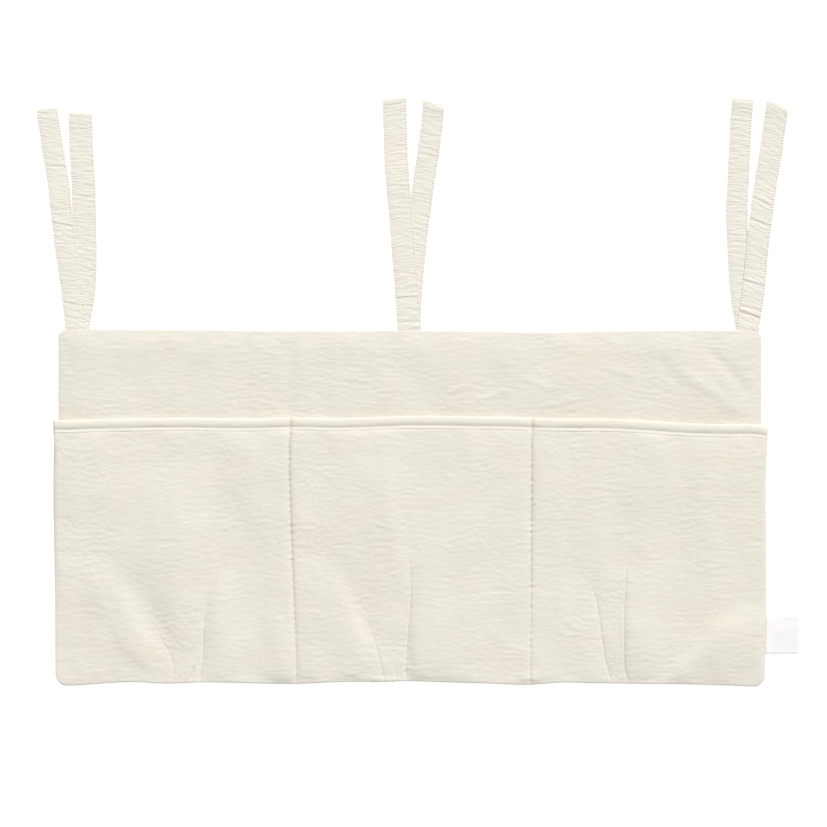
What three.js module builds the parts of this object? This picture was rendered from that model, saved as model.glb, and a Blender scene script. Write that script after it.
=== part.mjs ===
// A hanging bedside caddy of padded double muslin: a back panel, a pocket panel sewn into three
// pockets, a binding along the pockets' mouth, six sewn ties in three pairs and a side label.
//
// Units are millimetres. The caddy lies flat on its back: +X runs to its right, +Y up towards the
// ties, +Z out of the pockets' side. The origin is the middle of the back, on the surface that it
// lies on. Every cloth layer keeps a small gap to the next, so each is a closed body of its own.

import * as THREE from 'three';

// Cloth, padding and the gap between sewn layers.
const cloth = 0.8;
const gap = 0.3;
const panelPadding = 2.9;
const pocketPadding = 1.8;
const leastPadding = 0.6;
const seamAllowance = 5;

// Outline of the caddy, laid flat.
const pocketsWidth = 600;
const stripStep = 4.5;
const stripWidth = pocketsWidth - 2 * stripStep;
const caddyHeight = 297;
const mouthHeight = 222.5;
const bottomCornerRadius = 10;
const topCornerRadius = 7;
const edgeWander = 2.5;

// How the padded layers round off towards the seam.
const seamLift = 1.2;
const underRoll = 10;
const roundOver = 22;

// The pockets: where the dividing seams run, and how full each pocket stands.
const leftPocketAtHem = 203.5;
const leftPocketAtMouth = 199.8;
const middlePocketAtHem = 196.7;
const middlePocketAtMouth = 203;
const mouthFullness = 5.5;
const bodyFullness = 7;
const edgeRise = 36;
const dividerRise = 30;
const pleatDepth = 3;
const pleatHeight = 104;
const columnStep = 4;

// The binding over the pockets' mouth.
const bindingWidth = 11;
const bindingRound = 1.5;
const bindingStitchInset = 2;
const bindingRun = 3;
const bindingSettle = 26;

// A soft fold across the plain strip.
const foldHeight = 1.2;
const foldHalfWidth = 11;
const foldPlace = 111;

// Thread, as the bead that shows along each seam.
const threadRadius = 0.35;
const closingStart = 12;
const closingLength = 20;

// The ties.
const tieWidth = 18;
const tieThickness = 1.4;
const tieReach = 190;
const tieEdge = 0.5;
const tieSettle = 15;
const tieStitchInset = 2.2;
const tieStitchEnd = 3;
const rearRootLift = 0.2;
const frontRootLift = 0.2;

// The side label, a folded tab.
const labelLength = 27;
const labelHeight = 30;
const labelAboveHem = 25.5;
const labelCloth = 0.4;
const labelSlot = 0.3;

// Outline wander, as shares of edgeWander, evenly spaced from left to right or from hem to mouth.
const hemShares = [-0.6, 0.3, 0.85, -0.05, -1.05];
const topShares = [0.35, -0.15, -0.15, -0.65, -0.05];
const mouthShares = [-0.4, 0.45, 1.15, 0.2, -2.5];
const leftInsetShares = [0.88, 0.8, 0.44, 0.16, 0];
const rightInsetShares = [0.68, 0.32, 0.32, 0.16, -0.24];

// Pleats, one list per pocket. foot and head are places across the pocket, as shares of its width,
// at the hem and where the pleat fades out; reach is its height as a share of pleatHeight.
const pleatShares = [
  [
    { foot: 0.34, head: 0.15, reach: 0.76, depth: 0.6 },
    { foot: 0.5, head: 0.34, reach: 0.95, depth: 0.9 },
    { foot: 0.615, head: 0.7, reach: 1, depth: 1 },
  ],
  [
    { foot: 0.355, head: 0.22, reach: 0.88, depth: 1 },
    { foot: 0.475, head: 0.44, reach: 1.2, depth: 1 },
  ],
  [
    { foot: 0.345, head: 0.25, reach: 0.8, depth: 0.9 },
    { foot: 0.42, head: 0.415, reach: 1.08, depth: 1 },
    { foot: 0.6, head: 0.82, reach: 0.55, depth: 0.7 },
  ],
];
const pleatHalfShare = 0.032;

// Places across each pocket where the grid has a further column, as shares [at hem, above pleats].
const fillShares = [
  [[0.19, 0.09], [0.42, 0.24], [0.56, 0.52], [0.78, 0.84]],
  [[0.2, 0.12], [0.415, 0.33], [0.62, 0.6], [0.8, 0.79]],
  [[0.2, 0.14], [0.51, 0.58], [0.8, 0.9]],
];
const columnBendShare = 0.5;

// Rows of the grid, as shares of the height between the padded rims.
const pocketRowShares = [0, 0.1, 0.22, 0.36, 0.54, 0.76, 1];
const panelRowShares = [0, 0.34, 0.68];
const stripRowShares = [0.42];
const cornerRowShares = [0, 0.134, 0.5, 1];
const panelColumnShares = [0, 0.08, 0.16, 0.24, 0.4, 0.5, 0.6, 0.7, 0.8, 0.9, 1];

// The ties' rest shapes: where each leaves the top seam, as a share of half the strip's width, its
// reach and width as shares of tieReach and tieWidth, and its sway at even steps, as shares of its
// reach. The front tie of each pair lies on the rear one until crossing, a share of its reach.
const tieShares = [
  { name: 'left_front', front: true, root: -0.9496, reach: 0.975, width: 0.97, crossing: 0.58,
    sway: [0, -0.018, -0.043, -0.063, -0.082, -0.109, -0.134] },
  { name: 'left_rear', front: false, root: -0.9469, reach: 0.956, width: 1.09, crossing: 0,
    sway: [0, 0.028, 0.035, 0.033, 0.029, 0.019, 0.014] },
  { name: 'middle_front', front: true, root: -0.0014, reach: 1.025, width: 1.08, crossing: 0.64,
    sway: [0, -0.011, -0.024, -0.037, -0.052, -0.06, -0.064] },
  { name: 'middle_rear', front: false, root: 0, reach: 1.006, width: 0.97, crossing: 0,
    sway: [0, 0.006, 0.021, 0.041, 0.064, 0.089, 0.107] },
  { name: 'right_rear', front: false, root: 0.9584, reach: 1.022, width: 0.96, crossing: 0,
    sway: [0, -0.024, -0.035, -0.041, -0.035, -0.027, -0.016] },
  { name: 'right_front', front: true, root: 0.9611, reach: 0.998, width: 1, crossing: 0.52,
    sway: [0, 0.026, 0.041, 0.061, 0.084, 0.111, 0.133] },
];
const landingShare = 0.16;
const tieSteps = 14;
const rootTurns = [20, 50, 90];

// Colours and finishes.
const clothFinish = { roughness: 0.95, metalness: 0 };
const muslin = new THREE.MeshStandardMaterial({ color: 0xeae6da, ...clothFinish });
const bindingMuslin = new THREE.MeshStandardMaterial({ color: 0xf0ece0, ...clothFinish });
const tieMuslin = new THREE.MeshStandardMaterial({ color: 0xeeeadf, ...clothFinish });
const wadding = new THREE.MeshStandardMaterial({ color: 0xf6f6f4, roughness: 1, metalness: 0 });
const thread = new THREE.MeshStandardMaterial({ color: 0xe4dfd0, roughness: 0.7, metalness: 0 });
const satin = new THREE.MeshStandardMaterial({ color: 0xfaf8fa, roughness: 0.45, metalness: 0 });

const { clamp, lerp, smoothstep, degToRad } = THREE.MathUtils;

// Reads an evenly spaced row of shares at t, from 0 to 1, on a smooth curve through them.
function readShares(shares, t) {
  const spot = clamp(t, 0, 1) * (shares.length - 1);
  const index = Math.min(Math.floor(spot), shares.length - 2);
  const at = (i) => shares[clamp(i, 0, shares.length - 1)];
  const [before, from, to, after] = [at(index - 1), at(index), at(index + 1), at(index + 2)];
  const u = spot - index;
  const slopeIn = (to - before) / 2;
  const slopeOut = (after - from) / 2;
  const bend = 2 * (from - to) + slopeIn + slopeOut;
  const sag = 3 * (to - from) - 2 * slopeIn - slopeOut;
  return ((bend * u + sag) * u + slopeIn) * u + from;
}

// A padded edge's profile: from 0 at the seam to 1, rounding over within reach.
const pillow = (distance, reach) => Math.sqrt(1 - (1 - clamp(distance / reach, 0, 1)) ** 2);

// The outline of the caddy.
const hemLine = -caddyHeight / 2;
const across = (x) => x / pocketsWidth + 0.5;
const hemAt = (x) => hemLine + edgeWander * readShares(hemShares, across(x));
const topAt = (x) => caddyHeight / 2 + edgeWander * readShares(topShares, across(x));
const mouthAt = (x) => hemLine + mouthHeight + edgeWander * readShares(mouthShares, across(x));
const pocketLeft = (y) => {
  const inset = readShares(leftInsetShares, (y - hemLine) / mouthHeight);
  return -pocketsWidth / 2 + edgeWander * inset;
};
const pocketRight = (y) => {
  const inset = readShares(rightInsetShares, (y - hemLine) / mouthHeight);
  return pocketsWidth / 2 - edgeWander * inset;
};

// The panel's sides step in to the strip's width under the binding.
const stepIn = (y, x) => smoothstep(y, mouthAt(x) - bindingWidth, mouthAt(x) - bindingStitchInset);
const panelLeft = (y) => lerp(pocketLeft(y), -stripWidth / 2, stepIn(y, -pocketsWidth / 2));
const panelRight = (y) => lerp(pocketRight(y), stripWidth / 2, stepIn(y, pocketsWidth / 2));

// How far a place lies inside an outline whose corners are rounded.
function insideBy(toSide, toEnd, radius) {
  if (toSide >= radius || toEnd >= radius) return Math.max(Math.min(toSide, toEnd), 0);
  return Math.max(radius - Math.hypot(radius - toSide, radius - toEnd), 0);
}

// How far a row's ends draw in where it runs through a rounded corner.
function cornerInset(toEnd, radius) {
  if (toEnd >= radius) return 0;
  return radius - Math.sqrt(Math.max(radius ** 2 - (radius - toEnd) ** 2, 0));
}

const panelInside = (x, y) => {
  const toSide = Math.min(x - panelLeft(y), panelRight(y) - x);
  const bottom = insideBy(toSide, y - hemAt(x), bottomCornerRadius);
  return Math.min(bottom, insideBy(toSide, topAt(x) - y, topCornerRadius));
};
const pocketInside = (x, y) => {
  const toSide = Math.min(x - pocketLeft(y), pocketRight(y) - x);
  return insideBy(toSide, y - hemAt(x), bottomCornerRadius);
};

// The edges of the pockets, left to right, at a height above the hem line.
const heightShare = (y) => clamp((y - hemLine) / mouthHeight, 0, 1);
function pocketEdges(y) {
  const left = pocketLeft(y);
  const first = -pocketsWidth / 2 + lerp(leftPocketAtHem, leftPocketAtMouth, heightShare(y));
  const second = first + lerp(middlePocketAtHem, middlePocketAtMouth, heightShare(y));
  return [left, first, second, pocketRight(y)];
}

// How a column that follows the pleats bends, from its place at the hem to its place above them.
const columnBend = (y) => smoothstep(heightShare(y) / columnBendShare, 0, 1);

// How deep the pleats draw the pocket in, at a place.
function pleatDraw(x, y) {
  const edges = pocketEdges(y);
  return pleatShares.reduce((total, pleats, pocket) => {
    const width = edges[pocket + 1] - edges[pocket];
    const place = (x - edges[pocket]) / width;
    return pleats.reduce((sum, { foot, head, reach, depth }) => {
      const away = Math.abs(place - lerp(foot, head, columnBend(y))) / pleatHalfShare;
      const climb = (y - hemAt(x)) / (pleatHeight * reach);
      const fade = Math.sqrt(1 - clamp(climb, 0, 1)) * pillow(y - hemAt(x), bottomCornerRadius);
      return sum + pleatDepth * depth * fade * (1 - smoothstep(away, 0, 1));
    }, total);
  }, 0);
}

const toDivider = (x, y) => {
  const [, first, second] = pocketEdges(y);
  return Math.min(Math.abs(x - first), Math.abs(x - second));
};

// A soft standing fold, straight up the plain strip.
function stripFold(x, y) {
  const side = 1 - smoothstep(Math.abs(x + foldPlace), 0, foldHalfWidth);
  const room = (y - mouthAt(x)) / (topAt(x) - mouthAt(x));
  return room > 0 ? foldHeight * side * pillow(Math.min(room, 1 - room), 0.5) : 0;
}

// Heights of the back panel's layers above the surface.
const backUnder = (x, y) => seamLift * (1 - pillow(panelInside(x, y), underRoll));
const backOver = (x, y) => backUnder(x, y) + cloth;
const loftAt = (inside) => {
  const loft = panelPadding + gap - seamLift;
  return seamLift + cloth + gap + loft * pillow(inside, roundOver);
};
const panelFaceUnder = (x, y) => loftAt(panelInside(x, y)) + stripFold(x, y);
const panelFaceOver = (x, y) => panelFaceUnder(x, y) + cloth;

// Heights of the pocket panel's layers. The mouth is lifted to leave room for the binding.
const bindingDepth = bindingWidth + bindingRun;
const belowMouth = (x, y) => Math.max(mouthAt(x) - y - bindingDepth, 0);
function liningUnder(x, y) {
  const settle = smoothstep(belowMouth(x, y), 0, bindingSettle);
  const fullness = lerp(mouthFullness, bodyFullness, smoothstep(belowMouth(x, y), 0, mouthHeight / 2));
  const inside = pocketInside(x, y);
  const stand = fullness * pillow(inside, edgeRise) * pillow(toDivider(x, y), dividerRise);
  const room = (cloth + gap) * (1 - settle);
  return loftAt(inside) + cloth + gap + room + Math.max(stand - pleatDraw(x, y) / 2, 0);
}
const liningOver = (x, y) => liningUnder(x, y) + cloth;
const paddedShare = (x, y) => clamp(pocketInside(x, y) / seamAllowance, 0, 1);
function pocketPad(x, y) {
  const puff = pillow(pocketInside(x, y), roundOver) * pillow(toDivider(x, y), roundOver);
  const full = lerp(leastPadding, pocketPadding, puff) - pleatDraw(x, y) / 2;
  return Math.max(full, leastPadding) * paddedShare(x, y);
}
const padUnder = (x, y) => liningOver(x, y) + gap;
const padOver = (x, y) => padUnder(x, y) + pocketPad(x, y);
const faceUnder = (x, y) => padOver(x, y) + gap * paddedShare(x, y);
const faceOver = (x, y) => faceUnder(x, y) + cloth;

// The columns of the pocket grid: a place across one pocket at the hem and above the pleats, and a
// distance in from a seam, for the columns that run beside one.
function pocketColumns() {
  const columns = [{ pocket: 0, hem: 0, high: 0, offset: 0 }];
  pleatShares.forEach((pleats, pocket) => {
    const first = pocket === 0 ? seamAllowance : columnStep;
    const last = pocket === pleatShares.length - 1 ? seamAllowance : columnStep;
    const middle = fillShares[pocket].map(([hem, high]) => ({ hem, high }));
    for (const { foot, head } of pleats) {
      for (const side of [-pleatHalfShare, 0, pleatHalfShare]) {
        middle.push({ hem: foot + side, high: head + side });
      }
    }
    middle.sort((a, b) => a.hem - b.hem);
    columns.push({ pocket, hem: 0, high: 0, offset: first });
    columns.push({ pocket, hem: 0, high: 0, offset: first + 2 * columnStep });
    for (const { hem, high } of middle) columns.push({ pocket, hem, high, offset: 0 });
    columns.push({ pocket, hem: 1, high: 1, offset: -last - 2 * columnStep });
    columns.push({ pocket, hem: 1, high: 1, offset: -last });
    columns.push({ pocket, hem: 1, high: 1, offset: 0 });
  });
  return columns;
}

function columnPlace({ pocket, hem, high, offset }, y, inset) {
  const edges = pocketEdges(y);
  edges[0] += inset;
  edges[edges.length - 1] -= inset;
  return lerp(edges[pocket], edges[pocket + 1], lerp(hem, high, columnBend(y))) + offset;
}

// The pocket grid's plan points, row by row from the hem to the cut edge under the binding.
const cutEdge = cloth + 2 * gap;
function pocketGrid() {
  const columns = pocketColumns();
  const low = cornerRowShares.map((share) => (x) => hemAt(x) + bottomCornerRadius * share);
  const high = pocketRowShares.map((share) => (x) => {
    return lerp(hemAt(x) + roundOver, mouthAt(x) - bindingDepth, share);
  });
  const rows = [...low, ...high, (x) => mouthAt(x) - cutEdge];
  return rows.map((rowAt, row) => {
    const toEnd = row < low.length ? bottomCornerRadius * cornerRowShares[row] : bottomCornerRadius;
    const inset = cornerInset(toEnd, bottomCornerRadius);
    return columns.map((column) => {
      const start = columnPlace(column, rowAt(0), inset);
      const x = columnPlace(column, rowAt(start), inset);
      return [x, rowAt(x)];
    });
  });
}

// The back panel's plan points, row by row from the hem to the top seam. Its columns near the
// sides and its rows near the hem match the pocket grid's.
function panelGrid() {
  const nearSide = [0, seamAllowance, seamAllowance + 2 * columnStep];
  const folds = [-foldHalfWidth, 0, foldHalfWidth].map((side) => side - foldPlace);
  const low = cornerRowShares.map((share) => (x) => hemAt(x) + bottomCornerRadius * share);
  const middle = panelRowShares.map((share) => (x) => {
    return lerp(hemAt(x) + roundOver, mouthAt(x) - bindingDepth, share);
  });
  const step = [bindingDepth, bindingWidth - bindingStitchInset, bindingStitchInset];
  const under = step.map((down) => (x) => mouthAt(x) - down);
  const strip = stripRowShares.map((share) => (x) => lerp(mouthAt(x), topAt(x), share));
  const high = cornerRowShares.map((share) => (x) => topAt(x) - topCornerRadius * share);
  const rows = [...low, ...middle, ...under, ...strip, (x) => topAt(x) - roundOver];
  rows.push(...high.reverse());
  return rows.map((rowAt, row) => {
    const fromTop = rows.length - 1 - row;
    const toHem = bottomCornerRadius * (cornerRowShares[row] ?? 1);
    const toTop = topCornerRadius * (cornerRowShares[fromTop] ?? 1);
    const inset = Math.max(
      cornerInset(toHem, bottomCornerRadius), cornerInset(toTop, topCornerRadius));
    const left = panelLeft(rowAt(-stripWidth / 2)) + inset;
    const right = panelRight(rowAt(stripWidth / 2)) - inset;
    const inner = panelColumnShares.map((share) => lerp(left + roundOver, right - roundOver, share));
    const places = [...nearSide.map((d) => left + d), ...inner, ...folds];
    places.push(...nearSide.map((d) => right - d));
    return places.sort((a, b) => a - b).map((x) => [x, rowAt(x)]);
  });
}

// A grid without its outermost columns and rows, for the padding, which stops short of the seams.
const innerGrid = (grid, fromHem, fromTop) => {
  return grid.slice(fromHem, grid.length - fromTop).map((row) => row.slice(1, -1));
};

// Wraps vertices and faces up as a mesh.
function makeMesh(name, material, vertices, faces) {
  const geometry = new THREE.BufferGeometry();
  geometry.setAttribute('position', new THREE.Float32BufferAttribute(vertices.flat(), 3));
  geometry.setIndex(faces.flat());
  geometry.computeVertexNormals();
  const mesh = new THREE.Mesh(geometry, material);
  mesh.name = name;
  return mesh;
}

// A closed sheet over a grid of plan points, between two heights.
function clothSheet(name, material, grid, under, over) {
  const [rows, columns] = [grid.length, grid[0].length];
  const plan = grid.flat();
  const vertices = [
    ...plan.map(([x, y]) => [x, y, under(x, y)]),
    ...plan.map(([x, y]) => [x, y, over(x, y)]),
  ];
  const at = (row, column) => row * columns + column;
  const faces = [];
  for (let row = 0; row < rows - 1; row += 1) {
    for (let column = 0; column < columns - 1; column += 1) {
      const [a, b] = [at(row, column), at(row, column + 1)];
      const [c, d] = [at(row + 1, column + 1), at(row + 1, column)];
      for (const [p, q, r] of [[a, b, c], [a, c, d]]) {
        faces.push([p + plan.length, q + plan.length, r + plan.length], [r, q, p]);
      }
    }
  }
  const rim = [];
  for (let column = 0; column < columns - 1; column += 1) rim.push(at(0, column));
  for (let row = 0; row < rows - 1; row += 1) rim.push(at(row, columns - 1));
  for (let column = columns - 1; column > 0; column -= 1) rim.push(at(rows - 1, column));
  for (let row = rows - 1; row > 0; row -= 1) rim.push(at(row, 0));
  rim.forEach((from, index) => {
    const to = rim[(index + 1) % rim.length];
    faces.push([from, to, to + plan.length], [from, to + plan.length, from + plan.length]);
  });
  return makeMesh(name, material, vertices, faces);
}

// A closed body through a run of rings. outline is one ring's shape in the plane of the section,
// counter-clockwise when seen from the run's end, and sets how the ends are closed.
function loftRings(name, material, rings, outline) {
  const count = outline.length;
  const faces = [];
  for (let ring = 0; ring < rings.length - 1; ring += 1) {
    for (let side = 0; side < count; side += 1) {
      const next = (side + 1) % count;
      const [a, b] = [ring * count + side, ring * count + next];
      const [c, d] = [b + count, a + count];
      faces.push([a, b, c], [a, c, d]);
    }
  }
  const caps = THREE.ShapeUtils.triangulateShape(outline.map(([u, v]) => new THREE.Vector2(u, v)), []);
  const last = (rings.length - 1) * count;
  for (const [a, b, c] of caps) faces.push([c, b, a], [last + a, last + b, last + c]);
  return makeMesh(name, material, rings.flat(), faces);
}

// A bead of thread through points. aside is the level direction to the left of the run.
const beadTurns = [45, 135, 225, 315].map(degToRad);
function threadBead(name, points, aside) {
  const outline = beadTurns.map((turn) => [Math.cos(turn), Math.sin(turn)]);
  const rings = points.map(([x, y, z]) => outline.map(([u, v]) => {
    return [x + threadRadius * u * aside[0], y + threadRadius * u * aside[1], z + threadRadius * v];
  }));
  return loftRings(name, thread, rings, outline);
}

const onTop = gap + threadRadius;

// The binding: a strip folded over the cut edge of the pocket panel, inside and out.
function binding(grid) {
  const edge = grid[grid.length - 1];
  const rings = edge.map(([x, y]) => {
    const [inner, outer] = [liningUnder(x, y) - gap, faceOver(x, y) + gap];
    const [under, over] = [inner - cloth, outer + cloth];
    const top = mouthAt(x);
    const lip = top - bindingWidth;
    return [
      [x, lip, over], [x, lip, outer], [x, top - cloth - gap, outer],
      [x, top - cloth - gap, inner], [x, lip, inner], [x, lip, under],
      [x, top - bindingRound, under], [x, top, under + bindingRound],
      [x, top, over - bindingRound], [x, top - bindingRound, over],
    ];
  });
  return loftRings('pocket_binding', bindingMuslin, rings, rings[0].map(([, y, z]) => [y, z]));
}

// Height of the binding's outer face, which runs level from the lip to the fold.
const bindingOver = (x) => faceOver(x, mouthAt(x) - bindingDepth) + gap + cloth;

function bindingStitch(grid) {
  const edge = grid[grid.length - 1].slice(1, -1);
  const points = edge.map(([x]) => {
    return [x, mouthAt(x) - bindingWidth + bindingStitchInset, bindingOver(x) + onTop];
  });
  return threadBead('binding_stitch', points, [0, 1]);
}

// A dividing seam's thread: up the valley between two pockets, over the binding and its stitch.
function dividerStitch(name, grid, pocket) {
  const columns = pocketColumns();
  const seam = columns.findIndex((column) => column.pocket === pocket && column.hem === 1
    && column.offset === 0);
  const points = grid.slice(1, -1).map((row) => {
    const [x, y] = row[seam];
    return [x, y, faceOver(x, y) + onTop];
  });
  const [x] = grid[grid.length - 1][seam];
  const lip = mouthAt(x) - bindingWidth;
  const over = bindingOver(x) + onTop;
  const stitchOver = over + 2 * threadRadius + gap;
  const stitchAt = lip + bindingStitchInset;
  const clear = 3 * threadRadius;
  points.push([x, lip - clear, over], [x, stitchAt - clear, stitchOver]);
  points.push([x, stitchAt + clear, stitchOver], [x, stitchAt + 3 * clear, over]);
  points.push([x, mouthAt(x) - bindingRound, over]);
  return threadBead(name, points, [-1, 0]);
}

// Hand stitches that close the bottom seam, below the middle pocket.
function closingStitch() {
  const middle = seamLift + 2 * cloth + 1.5 * gap;
  const points = [0, 0.5, 1].map((share) => {
    const x = -closingStart - closingLength * (1 - share);
    return [x, hemAt(x) - gap - threadRadius, middle];
  });
  return threadBead('closing_stitch', points, [0, 1]);
}

// A tie's own geometry. It turns at the top seam about an axis along X, at the middle of a
// half-round root, and lies out along +Y.
const tieHalf = tieThickness / 2;
const rimTop = seamLift + 2 * cloth + gap;
const rootHeight = (front) => (front ? rimTop + frontRootLift : rearRootLift + tieHalf);
function tieCentre(tie, t) {
  const root = tie.root * stripWidth / 2;
  const reach = tie.reach * tieReach;
  const start = rootHeight(tie.front);
  const under = tie.front ? tieThickness + 2 * gap + 2 * threadRadius : 0;
  const settled = smoothstep(t * reach, 0, tieSettle);
  const landed = smoothstep(t, tie.crossing, tie.crossing + landingShare);
  const level = tieHalf + under * (1 - landed);
  return [
    root + reach * readShares(tie.sway, t),
    topAt(root) + gap + tieHalf + reach * t,
    lerp(start, level, settled),
  ];
}

// The tie's stations: its centre, its plan direction, and its half thickness there.
function tieStations(tie) {
  const [rootX, rootY, rootZ] = tieCentre(tie, 0);
  const rootStations = rootTurns.map((turn) => ({
    centre: [rootX, rootY - tieHalf * Math.cos(degToRad(turn)), rootZ],
    along: [0, 1],
    half: tieHalf * Math.sin(degToRad(turn)),
  }));
  const run = Array.from({ length: tieSteps }, (_, index) => {
    const t = (index + 1) / tieSteps;
    const [x0, y0] = tieCentre(tie, t - 1 / tieSteps);
    const [x1, y1] = tieCentre(tie, Math.min(t + 1 / tieSteps, 1));
    const length = Math.hypot(x1 - x0, y1 - y0);
    const along = [(x1 - x0) / length, (y1 - y0) / length];
    return { centre: tieCentre(tie, t), along, half: tieHalf };
  });
  return [...rootStations, ...run];
}

function tieStrip(tie) {
  const half = tie.width * tieWidth / 2;
  const outline = [
    [-half, 0], [tieEdge - half, -1], [half - tieEdge, -1],
    [half, 0], [half - tieEdge, 1], [tieEdge - half, 1],
  ];
  const rings = tieStations(tie).map(({ centre: [x, y, z], along: [dx, dy], half: thick }) => {
    return outline.map(([u, v]) => [x - u * dy, y + u * dx, z + v * thick]);
  });
  return loftRings(`tie_${tie.name}`, tieMuslin, rings, outline);
}

// The stitching along a tie's right edge, from near the root to near the tip.
function tieStitch(tie) {
  const inset = tie.width * tieWidth / 2 - tieStitchInset;
  const stations = tieStations(tie).slice(rootTurns.length);
  const points = stations.map(({ centre: [x, y, z], along: [dx, dy] }, index) => {
    const back = index === stations.length - 1 ? tieStitchEnd : 0;
    return [x + inset * dy - back * dx, y - inset * dx - back * dy, z + tieHalf + onTop];
  });
  return threadBead(`tie_${tie.name}_stitch`, points, [-1, 0]);
}

// The side label: one strip folded at its outer end, with its two ends in the side seam. It turns
// about an axis along Y, at the middle of its half-round root.
function sideLabel() {
  const half = labelCloth + labelSlot / 2;
  const shape = new THREE.Shape();
  const slotTurn = Math.asin(labelSlot / 2 / half);
  const fold = labelLength - half;
  shape.moveTo(0, -half);
  shape.lineTo(fold, -half);
  shape.absarc(fold, 0, half, -Math.PI / 2, Math.PI / 2);
  shape.lineTo(0, half);
  shape.absarc(0, 0, half, Math.PI / 2, Math.PI - slotTurn);
  shape.lineTo(fold, labelSlot / 2);
  shape.absarc(fold, 0, labelSlot / 2, Math.PI / 2, -Math.PI / 2, true);
  shape.lineTo(-half * Math.cos(slotTurn), -labelSlot / 2);
  shape.absarc(0, 0, half, Math.PI + slotTurn, Math.PI * 1.5);
  const settings = { depth: labelHeight, bevelEnabled: false, curveSegments: 4 };
  const geometry = new THREE.ExtrudeGeometry(shape, settings);
  const mesh = new THREE.Mesh(geometry, satin);
  const low = hemLine + labelAboveHem;
  mesh.name = 'side_label';
  mesh.rotation.x = Math.PI / 2;
  mesh.position.set(
    pocketRight(low + labelHeight / 2) + gap + half, low + labelHeight,
    seamLift + 2 * cloth + 1.5 * gap);
  return mesh;
}

function buildCaddy() {
  const caddy = new THREE.Group();
  const panel = panelGrid();
  const pockets = pocketGrid();
  const padRowsFromHem = 2;
  const panelPad = innerGrid(panel, padRowsFromHem, padRowsFromHem + 1);
  const pocketPadGrid = innerGrid(pockets, padRowsFromHem, 0);
  caddy.add(
    clothSheet('back_cover', muslin, panel, backUnder, backOver),
    clothSheet('panel_wadding', wadding, panelPad,
      (x, y) => backOver(x, y) + gap, (x, y) => panelFaceUnder(x, y) - gap),
    clothSheet('panel_face', muslin, panel, panelFaceUnder, panelFaceOver),
    clothSheet('pocket_lining', muslin, pockets, liningUnder, liningOver),
    clothSheet('pocket_wadding', wadding, pocketPadGrid, padUnder, padOver),
    clothSheet('pocket_face', muslin, pockets, faceUnder, faceOver),
    binding(pockets),
    bindingStitch(pockets),
    dividerStitch('divider_stitch_left', pockets, 0),
    dividerStitch('divider_stitch_right', pockets, 1),
    closingStitch(),
    sideLabel(),
  );
  for (const tie of tieShares) caddy.add(tieStrip(tie), tieStitch(tie));
  return caddy;
}

export default buildCaddy();
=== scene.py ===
import logging
import math
from collections.abc import Callable
from dataclasses import dataclass, field
from enum import Enum

import bpy
import numpy as np
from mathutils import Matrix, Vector
from numpy.typing import NDArray


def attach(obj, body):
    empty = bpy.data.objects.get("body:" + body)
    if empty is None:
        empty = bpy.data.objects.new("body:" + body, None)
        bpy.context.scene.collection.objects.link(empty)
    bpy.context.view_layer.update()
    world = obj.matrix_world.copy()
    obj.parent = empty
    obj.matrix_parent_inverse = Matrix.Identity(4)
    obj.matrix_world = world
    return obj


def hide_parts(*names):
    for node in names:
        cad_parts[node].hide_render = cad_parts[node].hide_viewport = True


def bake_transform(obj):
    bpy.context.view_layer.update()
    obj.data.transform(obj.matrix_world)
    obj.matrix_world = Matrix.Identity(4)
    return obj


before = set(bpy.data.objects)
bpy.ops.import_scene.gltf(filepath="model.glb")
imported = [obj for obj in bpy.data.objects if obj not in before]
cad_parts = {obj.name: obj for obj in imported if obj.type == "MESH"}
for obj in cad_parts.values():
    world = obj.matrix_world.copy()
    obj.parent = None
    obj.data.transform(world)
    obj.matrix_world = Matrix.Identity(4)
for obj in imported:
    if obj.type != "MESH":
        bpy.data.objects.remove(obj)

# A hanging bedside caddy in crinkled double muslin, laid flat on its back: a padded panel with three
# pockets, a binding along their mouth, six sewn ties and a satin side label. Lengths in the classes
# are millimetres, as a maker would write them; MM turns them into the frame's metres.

Points = NDArray[np.float64]
Indices = NDArray[np.int64]
Socket = bpy.types.NodeSocket
Pair = tuple[float, float]
Colour = tuple[float, float, float]

MM = 0.001
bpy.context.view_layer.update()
LOG = logging.getLogger("bedside_caddy")


class Body(Enum):
    """The bodies of the caddy, its label and its ties; the caddy's own pieces ride on its body."""

    CADDY = "caddy"
    SIDE_LABEL = "side_label"
    TIE_LEFT_FRONT = "tie_left_front"
    TIE_LEFT_REAR = "tie_left_rear"
    TIE_MIDDLE_FRONT = "tie_middle_front"
    TIE_MIDDLE_REAR = "tie_middle_rear"
    TIE_RIGHT_REAR = "tie_right_rear"
    TIE_RIGHT_FRONT = "tie_right_front"


class Slot(Enum):
    """The finishes that the record names."""

    MUSLIN = "muslin"
    BINDING = "binding_muslin"
    TIE = "tie_muslin"
    WADDING = "wadding"
    THREAD = "thread"
    SATIN = "label_satin"


class Held(Enum):
    """How a sheet of cloth is held."""

    LAID = "laid"
    FOLDED = "folded"
    STRETCHED = "stretched"


# Curves and profiles.


def smooth(value: Points, low: float, high: float) -> Points:
    """Rises smoothly from 0 at low to 1 at high."""
    share = np.clip((value - low) / (high - low), 0.0, 1.0)
    return share * share * (3.0 - 2.0 * share)


def pillow(distance: Points, reach: float) -> Points:
    """Follows a padded edge: 0 at the seam, rounding over to 1 within reach."""
    return np.sqrt(1.0 - (1.0 - np.clip(distance / reach, 0.0, 1.0)) ** 2)


def swell(distance: Points, reach: float) -> Points:
    """Rises gently from 0 at a seam to 1 at reach, steepest at the seam."""
    return 1.0 - (1.0 - np.clip(distance / reach, 0.0, 1.0)) ** 2


def bell(distance: Points, width: float) -> Points:
    """Stands up as a soft ridge of 1 with the given half width."""
    return np.exp(-((distance / width) ** 2))


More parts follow.
